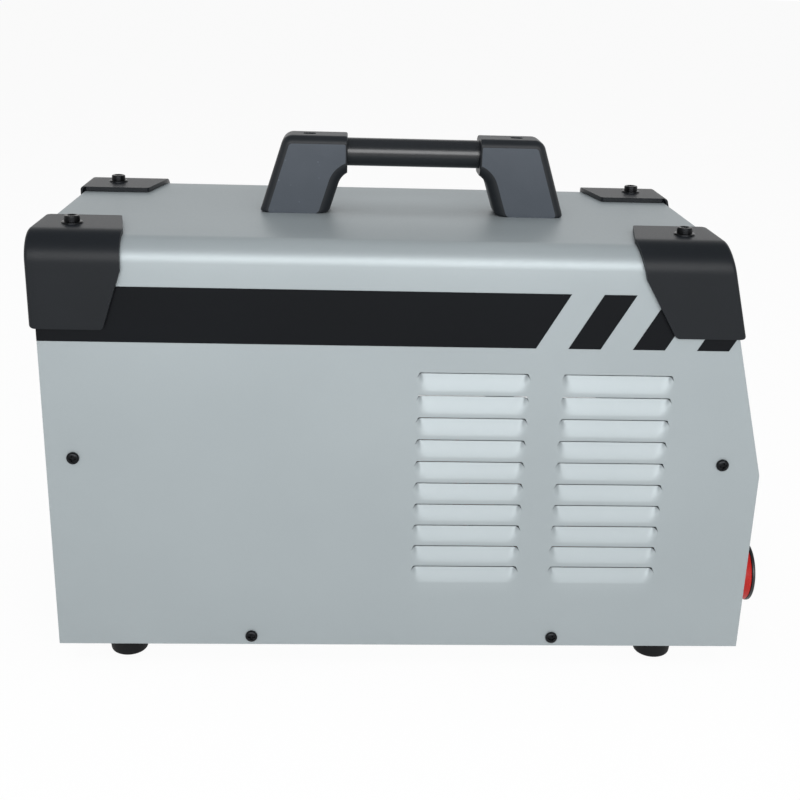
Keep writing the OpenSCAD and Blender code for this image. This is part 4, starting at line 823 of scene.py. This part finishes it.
def set_in(radius, depth):
    """How far a rounded edge draws back at a depth: radius less the root of radius squared less overlap
    squared."""
    overlap = np.clip(depth - (post_w / 2 - radius), 0, radius)
    return radius - np.sqrt(radius ** 2 - overlap ** 2)


def post_outline(depth):
    """The post's outline foot to foot at one depth: up the leaning outside, round the shoulder, along the
    top, down the end that takes the grip, and by the hook's arc down the leaning inside; each edge is set
    in by its round."""
    out, end, inner = (set_in(radius, depth) for radius in (outer_round, end_round, inner_round))
    foot = foot_round * (1 - np.cos(np.linspace(0, np.pi / 2, 6)))
    rise = np.concatenate([foot, np.linspace(foot_round, shoulder_z - foot_round, 9)[1:]])
    fall = np.concatenate([foot, np.linspace(foot_round, hook_z, 5)[1:]])[::-1]
    tuck = lambda z: foot_round - np.sqrt(foot_round ** 2 - np.clip(foot_round - z, 0, None) ** 2)
    outside = np.stack([foot_out - lean * rise - out * slant - tuck(rise), rise], axis=-1)
    shoulder = arc((shoulder_u, shoulder_z), top_round - out, lean_angle, 90, 10)
    face = grip_half + end
    top_z = post_h - out
    top = np.stack([np.linspace(shoulder[-1, 0], face + lip_round, 9)[1:-1], np.full(7, top_z)], axis=-1)
    lip = arc((face + lip_round, top_z - lip_round), lip_round, 90, 180, 6)
    hook_r = hook_fillet + inner
    tip = np.degrees(np.arccos((face - hook_u) / hook_r))
    hook = arc((hook_u, hook_z), hook_r, tip, lean_angle, 16)
    front = np.stack([np.full(7, face), np.linspace(lip[-1, 1], hook[0, 1], 9)[1:-1]], axis=-1)
    inside = np.stack([foot_in - lean * fall + inner * slant + tuck(fall), fall], axis=-1)
    return np.concatenate([outside, shoulder, top, lip, front, hook, inside])


def post_grid(front):
    """Outlines from the front face, over its rounded edges, to the back face."""
    turn = np.linspace(0, np.pi / 2, 10)
    depths = post_w / 2 - np.concatenate([
        end_round * (1 - np.cos(turn[::3])), inner_round * (1 - np.cos(turn))])
    depths = np.unique(np.round(depths, 4))[::-1]
    outlines = np.array([post_outline(depth) for depth in depths])
    side = 1 if front else -1
    half = np.stack(np.broadcast_arrays(
        side * outlines[..., 0], -side * depths[:, None], outlines[..., 1]), axis=-1)
    return np.concatenate([half, half[::-1] * [1, -1, 1]]) + [handle_x, 0, case_h]


def closed_moulding(name, rings):
    """Quads between rings of points, with the open feet joined below and the two end rings filled flat."""
    count, points = rings.shape[:2]
    quads = row_quads(np.arange(count - 1), points)
    starts = np.arange(count) * points
    base = np.concatenate([starts, starts[::-1] + points - 1])
    first, last = np.arange(points), np.arange(points) + (count - 1) * points
    mesh = bpy.data.meshes.new(name)
    faces = [*quads.tolist(), base.tolist(), first.tolist(), last.tolist()]
    mesh.from_pydata(rings.reshape(-1, 3), [], faces)
    shape = bmesh.new()
    shape.from_mesh(mesh)
    bmesh.ops.remove_doubles(shape, verts=shape.verts, dist=0.003 * mm)
    bmesh.ops.recalc_face_normals(shape, faces=shape.faces)
    shape.to_mesh(mesh)
    shape.free()
    mesh.shade_smooth()
    return mesh


def drill(piece, middle, radius, depth, steps=48):
    """Takes a round hole out of the top of a piece; the drill is thrown away when the hole is made."""
    around = np.arange(steps)
    turn = around * 2 * np.pi / steps
    circle = np.stack([np.cos(turn) * radius, np.sin(turn) * radius, 0 * turn], axis=-1)
    wall = np.array([circle - [0, 0, depth], circle + [0, 0, depth]]) * mm + middle
    mesh = bpy.data.meshes.new("drill")
    sides = np.stack([around, np.roll(around, -1)], axis=-1)
    quads = np.concatenate([sides, sides[:, ::-1] + steps], axis=1).tolist()
    ends = [around[::-1].tolist(), (around + steps).tolist()]
    mesh.from_pydata(wall.reshape(-1, 3), [], quads + ends)
    tool = bpy.data.objects.new("drill", mesh)
    bpy.context.scene.collection.objects.link(tool)
    cut = piece.modifiers.new("screw_hole", "BOOLEAN")
    cut.object = tool
    cut.solver = "EXACT"
    bpy.context.view_layer.update()
    made = bpy.data.meshes.new_from_object(piece.evaluated_get(bpy.context.evaluated_depsgraph_get()))
    piece.modifiers.clear()
    piece.data = made
    bpy.data.objects.remove(tool)
    made.set_sharp_from_angle(angle=np.radians(40))


# Two colours of the one nylon. The dark one is painted shade on the top, the ends and the rounded edges. The
# paler textured one is painted light on the flat faces, and the dust specks on it are real.
nylon_painted_shade = moulded("moulded_nylon_painted_shade", "#1F2226", "#181B1E", grain=0.8, depth=0.03, roughness=0.4,
                         shine=0.2)
nylon_painted_light = moulded("textured_nylon_painted_light", "#494F57", "#3E444B", grain=0.8, depth=0.08, roughness=0.55,
                       shine=0.25, dust=0.9, dust_colour="#A4AAB2")
screw_in, sink, hole_r, flat_share = 17, 6.5, 4.5, 0.999
for end, side in (("front", 1), ("rear", -1)):
    name = "handle_post_" + end
    rings = post_grid(end == "front") * mm + rear_edge
    mesh = closed_moulding(name + "_moulding", rings)
    piece = place_piece(name + "_moulding", mesh, nylon_painted_shade, "case")
    mesh.materials.append(nylon_painted_light)
    # Faces that point straight to the front or the back take the paler nylon, which is painted light. All
    # other faces keep the dark nylon, which is painted shade.
    facing = np.empty(3 * len(mesh.polygons))
    mesh.polygons.foreach_get("normal", facing)
    mesh.polygons.foreach_set("material_index", (np.abs(facing[1::3]) > flat_share).astype(np.int32))
    hole = rear_edge + np.array([handle_x + side * (top_out - screw_in), 0, case_h + post_h]) * mm
    drill(piece, hole, hole_r, sink)
    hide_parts(name)


# Grip: a round steel tube with a gloss black coat, its ends held inside the posts.
# The coat is thick and smooth, so a soft line of light runs along it.

tube_r, tube_h, tube_reach, tube_steps = 9.5, 40.6, 61.1, 72
tube_x = np.linspace(-tube_reach, tube_reach, 9)
tube_turn = np.arange(tube_steps) * 2 * np.pi / tube_steps
tube_grid = np.stack(np.broadcast_arrays(
    handle_x + tube_x[:, None], tube_r * np.cos(tube_turn), case_h + tube_h + tube_r * np.sin(tube_turn)),
    axis=-1) * mm + rear_edge
tube_black = powder_coat("gloss_black_coat", "#1B1E21", "#15171A", peel=2.5, depth=0.02, roughness=0.24)
tube = place_piece("grip_tube", grid_mesh("grip_tube", tube_grid[None], around=True, flip=True),
                   tube_black, "case")
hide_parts("handle_tube")


# Handle screws: bright socket-head screws, sunk in the tops of the posts near their outer ends.
# They pass down the posts and through the top of the cover.

sunk_head = socket_heads(head_d=8.5, head_h=5, key=4, socket_h=2.5)
sunk_places = [
    rear_edge + np.array([handle_x + side * (top_out - screw_in), 0, case_h + post_h - sink]) * mm
    for side in (-1, 1)]
grids = np.array([seat(sunk_head, place, *upright_axes) for place in sunk_places])
sunk_screws = place_piece("handle_screw_heads", grid_mesh("handle_screw_heads", grids, around=True),
                          screw_zinc, "case")
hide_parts("handle_screws")


# Stage: a pale floor under white walls that turn grey overhead, soft light from the front and from above.
# The camera's place and lens were measured from the straight edges of the case.

def in_view(material):
    """One for rays straight from the camera or by way of a mirror or clear sheet, and zero for all others."""
    path = add(material, "LightPath")
    seen = path.outputs["Is Camera Ray"]
    for ray in ("Is Glossy Ray", "Is Transmission Ray"):
        seen = add(material, "Math", {0: seen, 1: path.outputs[ray]}, operation="MAXIMUM").outputs[0]
    return seen


def paper(name, dark, light, glow_share):
    """Matt paper: where it is seen, a share of it glows white, so that the ground is white and a faint
    shadow still shows on the rest."""
    fibre_size = 60
    material, place = blank(name)
    fibre = noise(material, place, fibre_size, 2)
    matt = add(material, "BsdfDiffuse", {"Color": blend(material, fibre, dark, light)})
    glow = add(material, "Emission", {"Color": rgb("#FFFFFF"), "Strength": 1.0})
    share = add(material, "Math", {0: in_view(material), 1: glow_share}, operation="MULTIPLY")
    mixed = add(material, "MixShader", {0: share.outputs[0], 1: matt.outputs[0], 2: glow.outputs[0]})
    add(material, "OutputMaterial", {"Surface": mixed.outputs[0]})
    return material


floor_half, floor_z = 40, -0.0003
floor_corners = [(x * floor_half, y * floor_half, floor_z) for x, y in ((-1, -1), (1, -1), (1, 1), (-1, 1))]
floor_mesh = bpy.data.meshes.new("floor")
floor_mesh.from_pydata(floor_corners, [], [(0, 1, 2, 3)])
floor_mesh.materials.append(paper("white_paper", "#EFEFEF", "#F4F4F4", glow_share=0.945))
floor = bpy.data.objects.new("floor", floor_mesh)
bpy.context.scene.collection.objects.link(floor)

world = bpy.data.worlds.new("studio")
world.use_nodes = True
world.node_tree.nodes.clear()
height = add(world, "SeparateXYZ", {0: add(world, "TexCoord").outputs["Generated"]}).outputs["Z"]
grey_from, grey_to, fill_level = 0.3, 0.85, 0.34
rise = add(world, "MapRange", {
    "Value": height, "From Min": grey_from, "From Max": grey_to}, interpolation_type="SMOOTHSTEP").outputs[0]
walls = blend(world, rise, "#FFFFFF", "#8A8D90")
level = spread(world, in_view(world), fill_level, 1)
room = add(world, "Background", {"Color": walls, "Strength": level})
add(world, "OutputWorld", {"Surface": room.outputs[0]})
bpy.context.scene.world = world


def soft_box(name, place, aim, width, height, power):
    """A rectangular area lamp of a given size in metres and power in watts that faces a point."""
    lamp = bpy.data.lights.new(name, "AREA")
    lamp.shape = "RECTANGLE"
    lamp.size, lamp.size_y = width, height
    lamp.energy = power
    box = bpy.data.objects.new(name, lamp)
    back = np.array(place, float) - aim
    back /= np.linalg.norm(back)
    side = np.cross([0, 0, 1], back)
    side /= np.linalg.norm(side)
    turn = np.eye(4)
    turn[:3, :3] = np.stack([side, np.cross(back, side), back], axis=1)
    turn[:3, 3] = place
    box.matrix_world = Matrix(turn)
    bpy.context.scene.collection.objects.link(box)
    return box


soft_box("front_window", (0.05, -1.62, 0.73), np.array([0.05, -0.1, 0.3]), width=2, height=0.75, power=25)
overhead = soft_box("overhead_panel", (0, -0.3, 2.6), np.array([0, -0.29, 0]), width=3, height=3, power=50)
overhead.visible_glossy = False

lens_mm, sensor_mm = 54.09, 36
eye = (-0.04839, -0.83905, 0.45337)
look_right, look_up, look_along = (
    np.array([0.99896, -0.03655, 0.02714]), np.array([-0.01337, 0.33426, 0.94238]),
    np.array([0.04351, 0.94177, -0.33343]))
camera = bpy.data.objects.new("camera", bpy.data.cameras.new("camera"))
camera.data.lens = lens_mm
camera.data.sensor_width = sensor_mm
camera.data.clip_start = 0.01
stand = np.eye(4)
stand[:3, :3] = np.stack([look_right, look_up, -look_along], axis=1)
stand[:3, 3] = eye
camera.matrix_world = Matrix(stand)
bpy.context.scene.collection.objects.link(camera)
bpy.context.scene.camera = camera
bpy.context.scene.view_settings.view_transform = "Standard"
